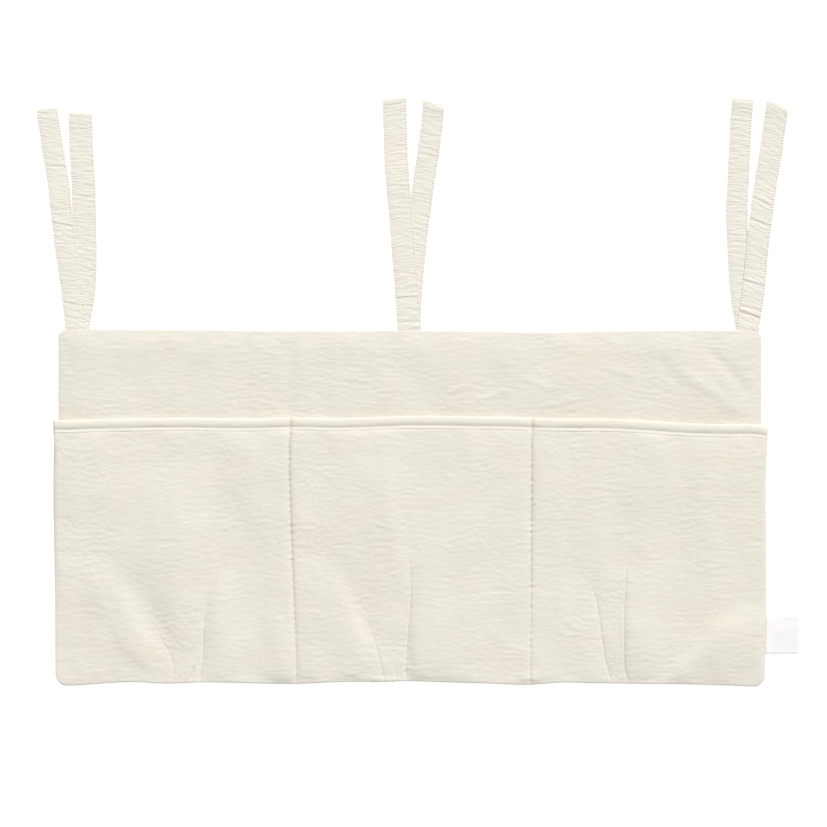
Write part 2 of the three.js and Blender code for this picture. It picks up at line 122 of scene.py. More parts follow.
def curve_through(stations: Points, place: Points) -> Points:
    """Reads a smooth curve through stations.

    Args:
        stations: Rows of (place, value), with places rising.
        place: Where to read the curve.

    Returns:
        The curve's values; beyond the ends it keeps the end value.
    """
    places, values = stations[:, 0], stations[:, 1]
    slopes = np.gradient(values, places)
    index = np.clip(np.searchsorted(places, place) - 1, 0, len(places) - 2)
    step = places[index + 1] - places[index]
    share = np.clip((place - places[index]) / step, 0.0, 1.0)
    start, end = values[index], values[index + 1]
    bend = 2 * (start - end) + (slopes[index] + slopes[index + 1]) * step
    sag = 3 * (end - start) - (2 * slopes[index] + slopes[index + 1]) * step
    return ((bend * share + sag) * share + slopes[index] * step) * share + start


def even_shares(shares: tuple[float, ...], share: Points) -> Points:
    """Reads evenly spaced shares at places from 0 to 1, on a smooth curve through them."""
    places = np.linspace(0.0, 1.0, len(shares))
    return curve_through(np.column_stack([places, shares]), share)


def spaced(length: float, start: tuple[float, ...], step: float) -> Points:
    """Spaces places along a length, close together at its start.

    Args:
        length: The whole length.
        start: The first places, close together.
        step: The even spacing after them, rounded so that the places end at the length.

    Returns:
        The places from the first of start to the whole length.
    """
    count = max(round((length - start[-1]) / step), 1)
    return np.concatenate([start[:-1], np.linspace(start[-1], length, count + 1)])


class Noise:
    """Smooth seeded noise on a plane, from about -1 to 1."""

    cells: int = 256
    strength: float = 1.5

    def __init__(self, seed: int) -> None:
        """Draws the noise's slopes.

        Args:
            seed: What the random draws start from.
        """
        draws = np.random.default_rng(seed)
        self._order = draws.permutation(self.cells)
        turns = draws.uniform(0.0, 2.0 * math.pi, self.cells)
        self._slopes = np.stack([np.cos(turns), np.sin(turns)], axis=1)

    def at(self, across: Points, up: Points) -> Points:
        """Reads the noise, whose features are about one unit across.

        Args:
            across: Places along the first axis.
            up: Places along the second axis.

        Returns:
            The noise at the places.
        """
        across, up = np.broadcast_arrays(across, up)
        cell_x, cell_y = np.floor(across).astype(int), np.floor(up).astype(int)
        part_x, part_y = across - cell_x, up - cell_y

        def corner(step_x: int, step_y: int) -> Points:
            """Reads one of the four corners around each place.

            Args:
                step_x: 0 for the corner before the place, 1 for the one after it.
                step_y: The same, along the second axis.

            Returns:
                What the corner adds at the places.
            """
            row = self._order[(cell_x + step_x) % self.cells]
            slope = self._slopes[self._order[(row + cell_y + step_y) % self.cells]]
            return slope[..., 0] * (part_x - step_x) + slope[..., 1] * (part_y - step_y)

        ease_x = part_x**3 * (part_x * (part_x * 6 - 15) + 10)
        ease_y = part_y**3 * (part_y * (part_y * 6 - 15) + 10)
        low = corner(0, 0) + ease_x * (corner(1, 0) - corner(0, 0))
        high = corner(0, 1) + ease_x * (corner(1, 1) - corner(0, 1))
        return self.strength * (low + ease_y * (high - low))


@dataclass(frozen=True)
class Ripple:
    """A gentle seeded unevenness of the cloth, with its height and its spacing both ways."""

    seed: int
    height: float
    across: float
    up: float = 1.0
    row: float = 0.0

    def at(self, x: Points, y: Points) -> Points:
        """Gives the unevenness at places on the cloth."""
        return self.height * Noise(self.seed).at(x / self.across, y / self.up)

    def along(self, x: Points) -> Points:
        """Gives the unevenness along one row of the noise."""
        return self.height * Noise(self.seed).at(x / self.across, self.row)


@dataclass(frozen=True)
class Crinkle:
    """The fine wavy ridges that run across double muslin."""

    seed: int
    height: float = 0.24
    spacing: float = 4.6
    length: float = 5.0
    wander: float = 1.2
    waviness: float = 0.55

    def field(self, across: Points, up: Points) -> Points:
        """Gives the ridges' height at places on the cloth.

        The numbers added to a place only pick another part of the same noise.

        Args:
            across: Places along the ridges.
            up: Places from ridge to ridge.

        Returns:
            The height above the plain cloth.
        """
        noise = Noise(self.seed)
        bent = up + self.wander * noise.at(across / 38.0 + 0.37, up / 30.0)
        fine = noise.at(across / self.length, bent / (0.6 * self.spacing))
        broad = noise.at(across / (2.2 * self.length) + 41.3, bent / self.spacing + 7.7)
        cells = noise.at(across / (0.44 * self.length) + 11.9, bent / (0.7 * self.spacing) + 3.1)
        phase = noise.at(across / (5.0 * self.length) + 17.3, up / (3.0 * self.spacing))
        waves = np.sin(2.0 * math.pi * (bent / self.spacing + 1.1 * phase))
        share = 0.5 + 0.5 * noise.at(across / 31.0 + 23.1, up / 23.0)
        patch = 0.9 + 0.5 * noise.at(across / 48.0 + 5.1, up / 37.0 + 3.3)
        ridges = 0.8 * fine + 0.5 * broad + 0.6 * cells + self.waviness * share * waves
        return self.height * patch * ridges


@dataclass(frozen=True)
class Fold:
    """A crease, ridge or hollow along a line drawn on the cloth."""

    line: tuple[Pair, ...]
    height: float
    width: float
    fade: float = 0.35
    end_share: float = 0.12

    def field(self, across: Points, up: Points) -> Points:
        """Gives the fold's height, which fades out towards its ends.

        Args:
            across: Places across the cloth.
            up: Places up the cloth.

        Returns:
            The height that the fold adds, below zero in a valley.
        """
        line = np.array(self.line)
        lengths = np.hypot(*(line[1:] - line[:-1]).T)
        nearest = np.full(np.shape(across), np.inf)
        share = np.zeros(np.shape(across))
        run = 0.0
        for start, end, length in zip(line[:-1], line[1:], lengths):
            along = (end - start) / length
            reach = (across - start[0]) * along[0] + (up - start[1]) * along[1]
            reach = np.clip(reach, 0.0, length)
            away = np.hypot(across - start[0] - reach * along[0], up - start[1] - reach * along[1])
            closer = away < nearest
            nearest = np.where(closer, away, nearest)
            share = np.where(closer, (run + reach) / lengths.sum(), share)
            run += length
        ends = smooth(share, 0.0, self.fade) * (1.0 - smooth(share, 1.0 - self.fade, 1.0))
        return self.height * bell(nearest, self.width) * (
            self.end_share + (1.0 - self.end_share) * ends)


# Meshes.


def make_mesh(name: str, vertices: Points, faces: list[list[int]]) -> bpy.types.Object:
    """Makes an object from vertices in millimetres and faces.

    Args:
        name: The piece's name.
        vertices: Rows of x, y and z.
        faces: Each face's vertices in order, counter-clockwise from outside.

    Returns:
        The object, smooth-shaded and linked to the scene.
    """
    mesh = bpy.data.meshes.new(name)
    mesh.from_pydata((vertices * MM).tolist(), [], faces)
    mesh.polygons.foreach_set("use_smooth", np.ones(len(mesh.polygons), dtype=bool))
    mesh.update()
    piece = bpy.data.objects.new(name, mesh)
    bpy.context.scene.collection.objects.link(piece)
    return piece


def quads(grid: Indices) -> list[list[int]]:
    """Lists the quads of a grid of vertex numbers, facing along columns cross rows."""
    corners = [grid[:-1, :-1], grid[:-1, 1:], grid[1:, 1:], grid[1:, :-1]]
    return np.stack(corners, axis=-1).reshape(-1, 4).tolist()


def make_shell(name: str, outer: Points, inner: Points, every: int = 1) -> bpy.types.Object:
    """Makes a closed sheet between an outer and an inner surface.

    Args:
        name: The piece's name.
        outer: The outer surface's points, as rows by columns by 3.
        inner: The inner surface's points, in the same layout.
        every: Of how many rows the inner surface keeps one.

    Returns:
        The closed sheet.
    """
    rows, columns = outer.shape[:2]
    inner = inner[::every]
    over = np.arange(rows * columns).reshape(rows, columns)
    under = rows * columns + np.arange(inner.shape[0] * columns).reshape(-1, columns)
    faces = quads(over) + quads(under[::-1])
    faces += quads(np.stack([under[0], over[0]]))
    faces += quads(np.stack([over[-1], under[-1]]))
    for step in range(inner.shape[0] - 1):
        side = slice(step * every, (step + 1) * every + 1)
        faces.append([under[step + 1, 0], under[step, 0], *over[side, 0]])
        faces.append([under[step, -1], under[step + 1, -1], *over[side, -1][::-1]])
    points = np.concatenate([outer.reshape(-1, 3), inner.reshape(-1, 3)])
    return make_mesh(name, points, [[int(corner) for corner in face] for face in faces])


def make_layer(name: str, x: Points, y: Points, over: Points, under: Points,
               every: int) -> bpy.types.Object:
    """Makes a closed sheet over a grid.

    Args:
        name: The piece's name.
        x: The grid's places across.
        y: The grid's places up.
        over: The sheet's height on the side that faces out.
        under: The sheet's height on its other side.
        every: Of how many rows the other side keeps one.

    Returns:
        The closed sheet.
    """
    sides = [np.stack([x, y, level], axis=-1) for level in (over, under)]
    return make_shell(name, *sides, every)


def make_tube(name: str, rings: Points) -> bpy.types.Object:
    """Makes a closed body through rings of points.

    Args:
        name: The piece's name.
        rings: The rings, each counter-clockwise seen from the run's end.

    Returns:
        The closed body.
    """
    count, around = rings.shape[:2]
    grid = np.arange(count * around).reshape(count, around)
    faces = quads(np.column_stack([grid, grid[:, 0]]))
    for ring, turn in ((grid[0], -1), (grid[-1], 1)):
        half = around // 2
        left, right = ring[: half + 1], np.concatenate([ring[half:], ring[:1]])[::-1]
        for step in range(half):
            cap = [left[step], left[step + 1], right[step + 1], right[step]]
            cap = list(dict.fromkeys(int(corner) for corner in cap))
            faces.append(cap[::turn])
    return make_mesh(name, rings.reshape(-1, 3), faces)


@dataclass(frozen=True)
class StitchLine:
    """A row of separate stitches, each a short bead of thread that dips into the cloth."""

    pitch: float = 2.7
    filled: float = 0.72
    radius: float = 0.24
    dip: float = 0.35
    sides: int = 6
    length_shares: tuple[float, ...] = (0.0, 0.12, 0.5, 0.88, 1.0)
    width_shares: tuple[float, ...] = (0.35, 0.9, 1.0, 0.9, 0.35)

    def make(self, name: str, path: Points) -> bpy.types.Object:
        """Makes the stitches along a path.

        Args:
            name: The piece's name.
            path: Points on the cloth's surface, in order.

        Returns:
            One object that holds all the stitches.
        """
        run = np.concatenate([[0.0], np.cumsum(np.linalg.norm(np.diff(path, axis=0), axis=1))])
        count = max(int(run[-1] / self.pitch), 1)
        starts = np.arange(count) * run[-1] / count
        shares, widths = np.array(self.length_shares), np.array(self.width_shares)
        places = starts[:, None] + shares * self.pitch * self.filled
        centre = np.stack([np.interp(places, run, path[:, axis]) for axis in range(3)], axis=-1)
        centre[..., 2] += self.radius - self.dip * (2 * shares - 1) ** 4
        along = centre[:, -1] - centre[:, 0]
        along[:, 2] = 0.0
        along /= np.linalg.norm(along, axis=1, keepdims=True)
        aside = np.stack([along[:, 1], -along[:, 0], np.zeros(count)], axis=-1)
        turns = np.linspace(0.0, 2.0 * math.pi, self.sides, endpoint=False)
        ring = np.cos(turns)[:, None] * aside[:, None, None] + np.sin(turns)[:, None] * [0, 0, 1.0]
        rings = centre[:, :, None] + self.radius * widths[:, None, None] * ring
        base = np.arange(len(shares) * self.sides).reshape(len(shares), self.sides)
        one = quads(np.column_stack([base, base[:, 0]])[::-1])
        one += [base[0].tolist(), base[-1][::-1].tolist()]
        faces = [[corner + stitch * base.size for corner in face]
                 for stitch in range(count) for face in one]
        return make_mesh(name, rings.reshape(-1, 3), faces)


# Finishes.


class NodeBench:
    """Lays out one material's nodes."""

    ramp_from: float = 0.3
    ramp_to: float = 0.7

    def __init__(self, name: str) -> None:
        """Starts an empty node material with a surface shader and its output.

        Args:
            name: The material's name.
        """
        self.material = bpy.data.materials.new(name)
        self.material.use_nodes = True
        self.tree = self.material.node_tree
        self.tree.nodes.clear()
        self.shader = self.add("ShaderNodeBsdfPrincipled")
        output = self.add("ShaderNodeOutputMaterial")
        self.link(self.shader.outputs["BSDF"], output.inputs["Surface"])
        self.places = self.add("ShaderNodeTexCoord").outputs["Object"]

    def add(self, kind: str, **options: str) -> bpy.types.Node:
        """Adds a node and sets its own options.

        Args:
            kind: The node's type.
            options: The options, by name.

        Returns:
            The node.
        """
        node = self.tree.nodes.new(kind)
        for option, choice in options.items():
            setattr(node, option, choice)
        return node

    def link(self, start: Socket, end: Socket) -> None:
        """Joins an output to an input."""
        self.tree.links.new(start, end)

    @staticmethod
    def set_inputs(node: bpy.types.Node, values: dict[str, float | Colour]) -> None:
        """Sets a node's inputs to values that are the same all over."""
        for label, value in values.items():
            node.inputs[label].default_value = value

    def noise(self, scale: Colour, detail: float, rough: float = 0.5) -> Socket:
        """Adds stretched noise.

        Args:
            scale: The number of features per metre along each axis.
            detail: How many finer layers are added.
            rough: How strong the finer layers are.

        Returns:
            The noise's value.
        """
        mapping = self.add("ShaderNodeMapping", vector_type="POINT")
        self.set_inputs(mapping, {"Scale": scale})
        self.link(self.places, mapping.inputs["Vector"])
        texture = self.add("ShaderNodeTexNoise")
        self.set_inputs(texture, {"Scale": 1.0, "Detail": detail, "Roughness": rough})
        self.link(mapping.outputs["Vector"], texture.inputs["Vector"])
        return texture.outputs["Fac"]

    def threads(self, direction: str, pitch: float) -> Socket:
        """Adds the even bands of a weave's threads.

        Args:
            direction: The axis across the bands.
            pitch: The threads' spacing in millimetres.

        Returns:
            The bands' value.
        """
        wave = self.add("ShaderNodeTexWave", wave_type="BANDS", bands_direction=direction)
        self.set_inputs(wave, {"Scale": 2.0 * math.pi / (20.0 * pitch * MM), "Distortion": 1.6,
                               "Detail": 1.0, "Detail Scale": 0.35})
        self.link(self.places, wave.inputs["Vector"])
        return wave.outputs["Fac"]

    def maths(self, operation: str, first: Socket, second: Socket | float) -> Socket:
        """Adds a step of arithmetic.

        Args:
            operation: The step's name.
            first: The first value.
            second: The second value, another node's or a number.

        Returns:
            The result.
        """
        node = self.add("ShaderNodeMath", operation=operation)
        self.link(first, node.inputs[0])
        if isinstance(second, float):
            node.inputs[1].default_value = second
        else:
            self.link(second, node.inputs[1])
        return node.outputs["Value"]

    def blend_colours(self, share: Socket, low: Colour, high: Colour) -> Socket:
        """Adds a ramp between two colours, over the middle of a value's range.

        Args:
            share: The value.
            low: The colour where it is low.
            high: The colour where it is high.

        Returns:
            The colour.
        """
        ramp = self.add("ShaderNodeValToRGB")
        ends = ((self.ramp_from, low), (self.ramp_to, high))
        for element, (position, colour) in zip(ramp.color_ramp.elements, ends):
            element.position = position
            element.color = (*colour, 1.0)
        self.link(share, ramp.inputs["Fac"])
        return ramp.outputs["Color"]

    def tint(self, colour: Socket, cast: Socket) -> Socket:
        """Multiplies a colour by a faint cast.

        Args:
            colour: The colour.
            cast: The cast, near white.

        Returns:
            The tinted colour.
        """
        node = self.add("ShaderNodeMix", data_type="RGBA", blend_type="MULTIPLY")
        node.inputs[0].default_value = 1.0
        self.link(colour, node.inputs[6])
        self.link(cast, node.inputs[7])
        return node.outputs[2]

    def bump(self, height: Socket, strength: float, distance: float) -> None:
        """Raises the surface.

        Args:
            height: The value that raises it.
            strength: How strongly it does.
            distance: How far it does, in millimetres.
        """
        node = self.add("ShaderNodeBump")
        self.set_inputs(node, {"Strength": strength, "Distance": distance * MM})
        self.link(height, node.inputs["Height"])
        self.link(node.outputs["Normal"], self.shader.inputs["Normal"])

    def surface(self, colour: Socket, values: dict[str, float]) -> None:
        """Gives the shader its colour, and the values that are the same all over."""
        self.link(colour, self.shader.inputs["Base Color"])
        self.set_inputs(self.shader, values)


@dataclass(frozen=True)
class MuslinFinish:
    """Unbleached double muslin: an open plain weave, matt, slightly uneven in tone."""

    name: str
    pale: Colour
    shade: Colour
    bump: float = 0.42
    bump_distance: float = 0.4
    weave_pitch: float = 0.62
    weave_share: float = 0.16
    ridge_share: float = 1.8
    warm: Colour = (1.0, 0.982, 0.965)
    cool: Colour = (0.978, 0.99, 0.985)
    tone_scale: Colour = (26.0, 90.0, 26.0)
    cast_scale: Colour = (17.0, 29.0, 17.0)
    slub_scale: Colour = (520.0, 800.0, 520.0)
    ridge_scale: Colour = (230.0, 360.0, 230.0)

    def make(self) -> bpy.types.Material:
        """Builds the cloth's material.

        Returns:
            The material, uneven in tone, with its weave, slubs and smallest ridges as bump.
        """
        bench = NodeBench(self.name)
        colour = bench.blend_colours(bench.noise(self.tone_scale, 4.0, 0.6), self.shade, self.pale)
        cast = bench.blend_colours(bench.noise(self.cast_scale, 3.0), self.warm, self.cool)
        bench.surface(bench.tint(colour, cast), {
            "Roughness": 0.93, "Specular IOR Level": 0.18, "Sheen Weight": 0.06,
            "Sheen Roughness": 0.6})
        weave = bench.maths("ADD", bench.threads("X", self.weave_pitch),
                            bench.threads("Y", self.weave_pitch))
        slubs = bench.noise(self.slub_scale, 2.0)
        ridges = bench.noise(self.ridge_scale, 2.0)
        fine = bench.maths("ADD", bench.maths("MULTIPLY", weave, self.weave_share), slubs)
        height = bench.maths("ADD", fine, bench.maths("MULTIPLY", ridges, self.ridge_share))
        bench.bump(height, self.bump, self.bump_distance)
        return bench.material


@dataclass(frozen=True)
class ThreadFinish:
    """Spun cotton thread, twisted."""

    name: str
    colour: Colour
    lighter: float = 1.06
    scale: Colour = (900.0, 900.0, 900.0)
    twist: float = 0.4
    bump: float = 0.4
    bump_distance: float = 0.08

    def make(self) -> bpy.types.Material:
        """Builds the thread's material.

        Returns:
            The material, with the thread's twist as bump.
        """
        bench = NodeBench(self.name)
        pale = tuple(min(part * self.lighter, 1.0) for part in self.colour)
        colour = bench.blend_colours(bench.noise(self.scale, 2.0), self.colour, pale)
        bench.surface(colour, {"Roughness": 0.7, "Specular IOR Level": 0.3})
        bench.bump(bench.threads("DIAGONAL", self.twist), self.bump, self.bump_distance)
        return bench.material


@dataclass(frozen=True)
class SatinFinish:
    """White woven satin ribbon, smooth, with a faint cross rib."""

    name: str
    colour: Colour
    darker: float = 0.975
    scale: Colour = (60.0, 300.0, 60.0)
    rib: float = 0.45
    bump: float = 0.25
    bump_distance: float = 0.05

    def make(self) -> bpy.types.Material:
        """Builds the ribbon's material.

        Returns:
            The material, with the cross rib as bump.
        """
        bench = NodeBench(self.name)
        shade = tuple(part * self.darker for part in self.colour)
        colour = bench.blend_colours(bench.noise(self.scale, 3.0), shade, self.colour)
        bench.surface(colour, {"Roughness": 0.42, "Specular IOR Level": 0.35, "Sheen Weight": 0.05})
        bench.bump(bench.threads("Y", self.rib), self.bump, self.bump_distance)
        return bench.material


@dataclass(frozen=True)
class WaddingFinish:
    """Soft white fleece wadding, which fills the padded layers."""

    name: str
    colour: Colour
    darker: float = 0.93
    scale: Colour = (700.0, 700.0, 700.0)
    bump: float = 0.7
    bump_distance: float = 0.6

    def make(self) -> bpy.types.Material:
        """Builds the wadding's material.

        Returns:
            The material, with the fluff in its tone and as bump.
        """
        bench = NodeBench(self.name)
        fluff = bench.noise(self.scale, 5.0, 0.7)
        shade = tuple(part * self.darker for part in self.colour)
        bench.surface(bench.blend_colours(fluff, shade, self.colour), {"Roughness": 1.0})
        bench.bump(fluff, self.bump, self.bump_distance)
        return bench.material


FINISHES = {
    Slot.MUSLIN: MuslinFinish("muslin_cream", (0.842, 0.808, 0.726), (0.82, 0.783, 0.697)),
    Slot.BINDING: MuslinFinish("muslin_binding", (0.85, 0.816, 0.734), (0.832, 0.796, 0.709),
                               bump=0.15),
    Slot.TIE: MuslinFinish("muslin_ties", (0.882, 0.849, 0.768), (0.853, 0.818, 0.733), bump=0.4),
    Slot.WADDING: WaddingFinish("wadding_white", (0.92, 0.92, 0.91)),
    # The thread is cream like the cloth, but its colour here is darker: painted shade of the stitch
    # grooves it lies in.
    Slot.THREAD: ThreadFinish("thread_cream_painted_shade", (0.77, 0.735, 0.63)),
    Slot.SATIN: SatinFinish("satin_white", (0.93, 0.915, 0.932)),
}


class Dresser:
    """Gives pieces the finishes of their slots, and hides the CAD parts that they replace."""

    def __init__(self) -> None:
        """Builds each finish once."""
        self._materials = {slot: finish.make() for slot, finish in FINISHES.items()}

    def dress(self, piece: bpy.types.Object, slot: Slot, *nodes: str) -> bpy.types.Object:
        """Gives a piece its finish and hides the CAD nodes that it stands for.

        Args:
            piece: The piece.
            slot: The record's slot for its finish.
            nodes: The CAD nodes that it replaces.

        Returns:
            The same piece.
        """
        piece.data.materials.append(self._materials[slot])
        if nodes:
            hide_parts(*nodes)
        LOG.info("%s: %d faces, finish %s", piece.name, len(piece.data.polygons), slot.value)
        return piece


# The caddy's outline and the heights of its layers.


def table(*rows: tuple[float, ...]) -> Points:
    """Keeps measured rows, which start with their place, as an array."""
    return np.array(rows, dtype=float)


@dataclass(frozen=True)
class Pattern:
    """The caddy's outline, laid flat: its edges, mouth, dividing seams and pleats."""

    bottom_corner: float = 10.0
    top_corner: float = 7.0
    strip_half: float = 295.4
    left_step: Pair = (62.4, 71.5)
    right_step: Pair = (57.0, 66.0)
    binding_lap: float = 14.0
    hem_line: Points = field(default_factory=lambda: table(
        (-300, -150.2), (-285, -150), (-265, -148.7), (-233, -147), (-203, -148.3), (-175, -147.2),
        (-145, -147.7), (-94, -148.5), (-63.5, -147.1), (-31, -146.7), (2, -146.3), (26.5, -147.1),
        (63.5, -148.1), (103, -149.2), (126, -147.4), (150, -147.8), (184, -148.3), (225, -148.8),
        (253, -149.4), (274, -150.1), (286, -150.7), (300, -151)))
    top_line: Points = field(default_factory=lambda: table(
        (-296, 149.3), (-220, 149.2), (-150, 148.7), (-90, 148.1), (0, 148.4), (70, 147.6),
        (115, 146.8), (142, 147.5), (208, 148.4), (274, 148.6), (296, 148.5)))
    mouth_line: Points = field(default_factory=lambda: table(
        (-300, 73.2), (-297, 73.2), (-261, 74.2), (-196, 75.2), (-131, 74.8), (-100.6, 75.6),
        (-64, 75), (-34, 75.7), (-11, 76.6), (19, 76.9), (56, 76.3), (86, 75.9), (102.6, 75.2),
        (134, 74.7), (167, 74.5), (200, 72.8), (233, 70.7), (266, 69.7), (296, 68.9), (301, 67.8)))
    left_line: Points = field(default_factory=lambda: table(
        (-150, -297.6), (-134, -297.8), (-78, -298.1), (-32, -298.9), (23, -299.6), (52, -298.8),
        (74, -300)))
    right_line: Points = field(default_factory=lambda: table(
        (-150, 298.2), (-133, 298.4), (-115, 299.1), (-40, 299.3), (30, 299.3), (45, 299.9),
        (66, 300.7)))
    left_divider: Points = field(default_factory=lambda: table(
        (-150, -95.4), (-129, -95.7), (-95, -96.9), (-61, -98.3), (-28, -99.6), (6, -100.8),
        (40, -101.5), (62, -101), (78, -100.6)))
    right_divider: Points = field(default_factory=lambda: table(
        (-150, 100.6), (-112, 101.2), (-45, 101.7), (40, 102), (62, 102.2), (78, 102.4)))

    def hem(self, x: Points) -> Points:
        """Gives the bottom edge's y at x."""
        return curve_through(self.hem_line, x)

    def top(self, x: Points) -> Points:
        """Gives the top seam's y at x."""
        return curve_through(self.top_line, x)

    def mouth(self, x: Points) -> Points:
        """Gives the y of the binding's folded edge at x."""
        return curve_through(self.mouth_line, x)

    def below_mouth(self, x: Points, y: Points) -> Points:
        """Gives how far a place lies below the binding's folded edge."""
        return self.mouth(x) - y

    def pocket_sides(self, y: Points) -> tuple[Points, Points]:
        """Gives the x of the pockets' left and right edges at y."""
        return curve_through(self.left_line, y), curve_through(self.right_line, y)

    def panel_sides(self, y: Points) -> tuple[Points, Points]:
        """Gives the back panel's edges, which step in above the pockets.

        Args:
            y: Places up the panel.

        Returns:
            The x of the left and the right edge.
        """
        left, right = self.pocket_sides(y)
        left = left + smooth(y, *self.left_step) * (-self.strip_half - left)
        right = right + smooth(y, *self.right_step) * (self.strip_half - right)
        return left, right

    def dividers(self, y: Points) -> tuple[Points, Points]:
        """Gives the x of the two dividing seams at y."""
        return curve_through(self.left_divider, y), curve_through(self.right_divider, y)

    def to_divider(self, x: Points, y: Points) -> Points:
        """Gives how far a place lies from the nearer dividing seam."""
        first, second = self.dividers(y)
        return np.minimum(np.abs(x - first), np.abs(x - second))

    @staticmethod
    def inside_by(to_side: Points, to_end: Points, radius: float) -> Points:
        """Gives how far a place lies inside an outline with a rounded corner.

        Args:
            to_side: How far it is from the nearer side.
            to_end: How far it is from the end.
            radius: The corner's radius.

        Returns:
            The distance from the outline, and 0 outside it.
        """
        plain = np.maximum(np.minimum(to_side, to_end), 0.0)
        corner = np.maximum(radius - np.hypot(radius - to_side, radius - to_end), 0.0)
        return np.where((to_side >= radius) | (to_end >= radius), plain, corner)

    def pocket_inside(self, x: Points, y: Points) -> Points:
        """Gives how far a place lies inside the pockets' sides and hem.

        Args:
            x: Places across the cloth.
            y: Places up the cloth.

        Returns:
            The distance from the nearest of them.
        """
        left, right = self.pocket_sides(y)
        to_side = np.minimum(x - left, right - x)
        return self.inside_by(to_side, y - self.hem(x), self.bottom_corner)

    def panel_inside(self, x: Points, y: Points) -> Points:
        """Gives how far a place lies inside the back panel's outline.

        Args:
            x: Places across the panel.
            y: Places up the panel.

        Returns:
            The distance from the outline.
        """
        left, right = self.panel_sides(y)
        to_side = np.minimum(x - left, right - x)
        bottom = self.inside_by(to_side, y - self.hem(x), self.bottom_corner)
        return np.minimum(bottom, self.inside_by(to_side, self.top(x) - y, self.top_corner))

    @staticmethod
    def corner_inset(to_end: Points, radius: float) -> Points:
        """Gives how far a row draws in at a rounded corner."""
        room = np.clip(radius - to_end, 0.0, radius)
        return radius - np.sqrt(radius**2 - room**2)


@dataclass(frozen=True)
class Crease:
    """A valley that runs up the pocket cloth from the hem, where its fullness is sewn in."""

    rows: Points
    left: float
    right: float
    crest: float = 1.4
    nick: float = 0.0
    nick_high: float = -90.0
    soft: float = 3.0
    nick_fade: float = 25.0
    nick_width: float = 0.45
    nick_soft: float = 0.4

    def place(self, y: Points) -> Points:
        """Gives the valley's x at y."""
        return curve_through(self.rows[:, :2], y)

    def field(self, x: Points, y: Points) -> Points:
        """Gives the height that the crease adds.

        Args:
            x: Places across the cloth.
            y: Places up the cloth.

        Returns:
            The height, below zero in the valley, with a thin nick along its line.
        """
        slope = np.interp(y, CREASE_LEVELS, np.gradient(self.place(CREASE_LEVELS)))
        away = (x - self.place(y)) / np.sqrt(1.0 + slope**2)
        width = np.where(away < 0, self.left, self.right)
        sharp = 1.0 - smooth(y, self.nick_high - self.nick_fade, self.nick_high)
        soft = self.soft + (self.nick_soft - self.soft) * sharp * (self.nick > 0)
        bent = np.exp(-(((np.sqrt(away**2 + soft**2) - soft) / width) ** self.crest))
        height = curve_through(self.rows[:, [0, 2]], y)
        return height * bent - self.nick * sharp * np.exp(-np.abs(away) / self.nick_width)


# Levels a millimetre apart, up the pocket cloth.
CREASE_LEVELS = np.linspace(-150.0, 80.0, 231)

# Each crease's rows are (y, x, height). Both tables follow the photo's creases in place.
CREASES = (
    Crease(table((-146, -199, -0.6), (-135, -199, -0.9), (-126, -200.5, -1.3), (-116, -206, -1.7),
                 (-104, -212.5, -2), (-91, -218.7, -2), (-78, -224.8, -1.8), (-61, -233, -1.1),
                 (-45, -241.9, -0.4), (-32, -250.3, 0)), 12.0, 10.0, 1.5, 0.8, -92.0, 4.0),
    Crease(table((-146, -176.3, -0.7), (-125, -174, -0.9), (-112, -173.8, -1), (-100, -173, -1),
                 (-78, -169.8, -0.9), (-62, -163.5, -0.8), (-50, -158.3, -0.6), (-40, -155.5, -0.2),
                 (-32, -154.4, 0)), 5.0, 5.0, 1.2, 1.1, -30.0),
    Crease(table((-146, -21.5, -0.5), (-127, -25.8, -1), (-114, -29, -1.5), (-104, -32.4, -1.8),
                 (-91, -38.5, -1.6), (-78, -45.7, -1.1), (-64, -53.4, -0.6), (-49, -60.2, -0.2),
                 (-32, -66.9, 0)), 11.0, 13.0, 1.3, 0.7, -86.0),
    Crease(table((-146, -3.5, -0.5), (-125, -3, -0.6), (-104, -1.6, -0.6), (-82, 0.2, -0.8),
                 (-61, 0.6, -0.9), (-36, -0.8, -0.8), (-11, -4.6, -0.6), (6, -9.7, -0.3),
                 (23, -13, 0)), 8.0, 4.5, 1.2, 0.9, -34.0),
    Crease(table((-146, 169.6, -0.5), (-139, 167, -0.9), (-125, 163.4, -1.2), (-104, 160.5, -1.3),
                 (-85, 157.8, -1.3), (-74, 155, -1), (-57, 148.5, -0.4), (-40, 141.8, 0)),
           10.0, 8.0, 1.2, 0.9, -58.0),
    Crease(table((-147, 184, -0.4), (-139, 181, -0.6), (-125, 180.2, -0.6), (-104, 180, -0.5),
                 (-78, 180.4, -0.3), (-50, 182, 0), (-11, 188, 0)), 4.0, 4.0, 1.3, 1.0, -24.0),
)

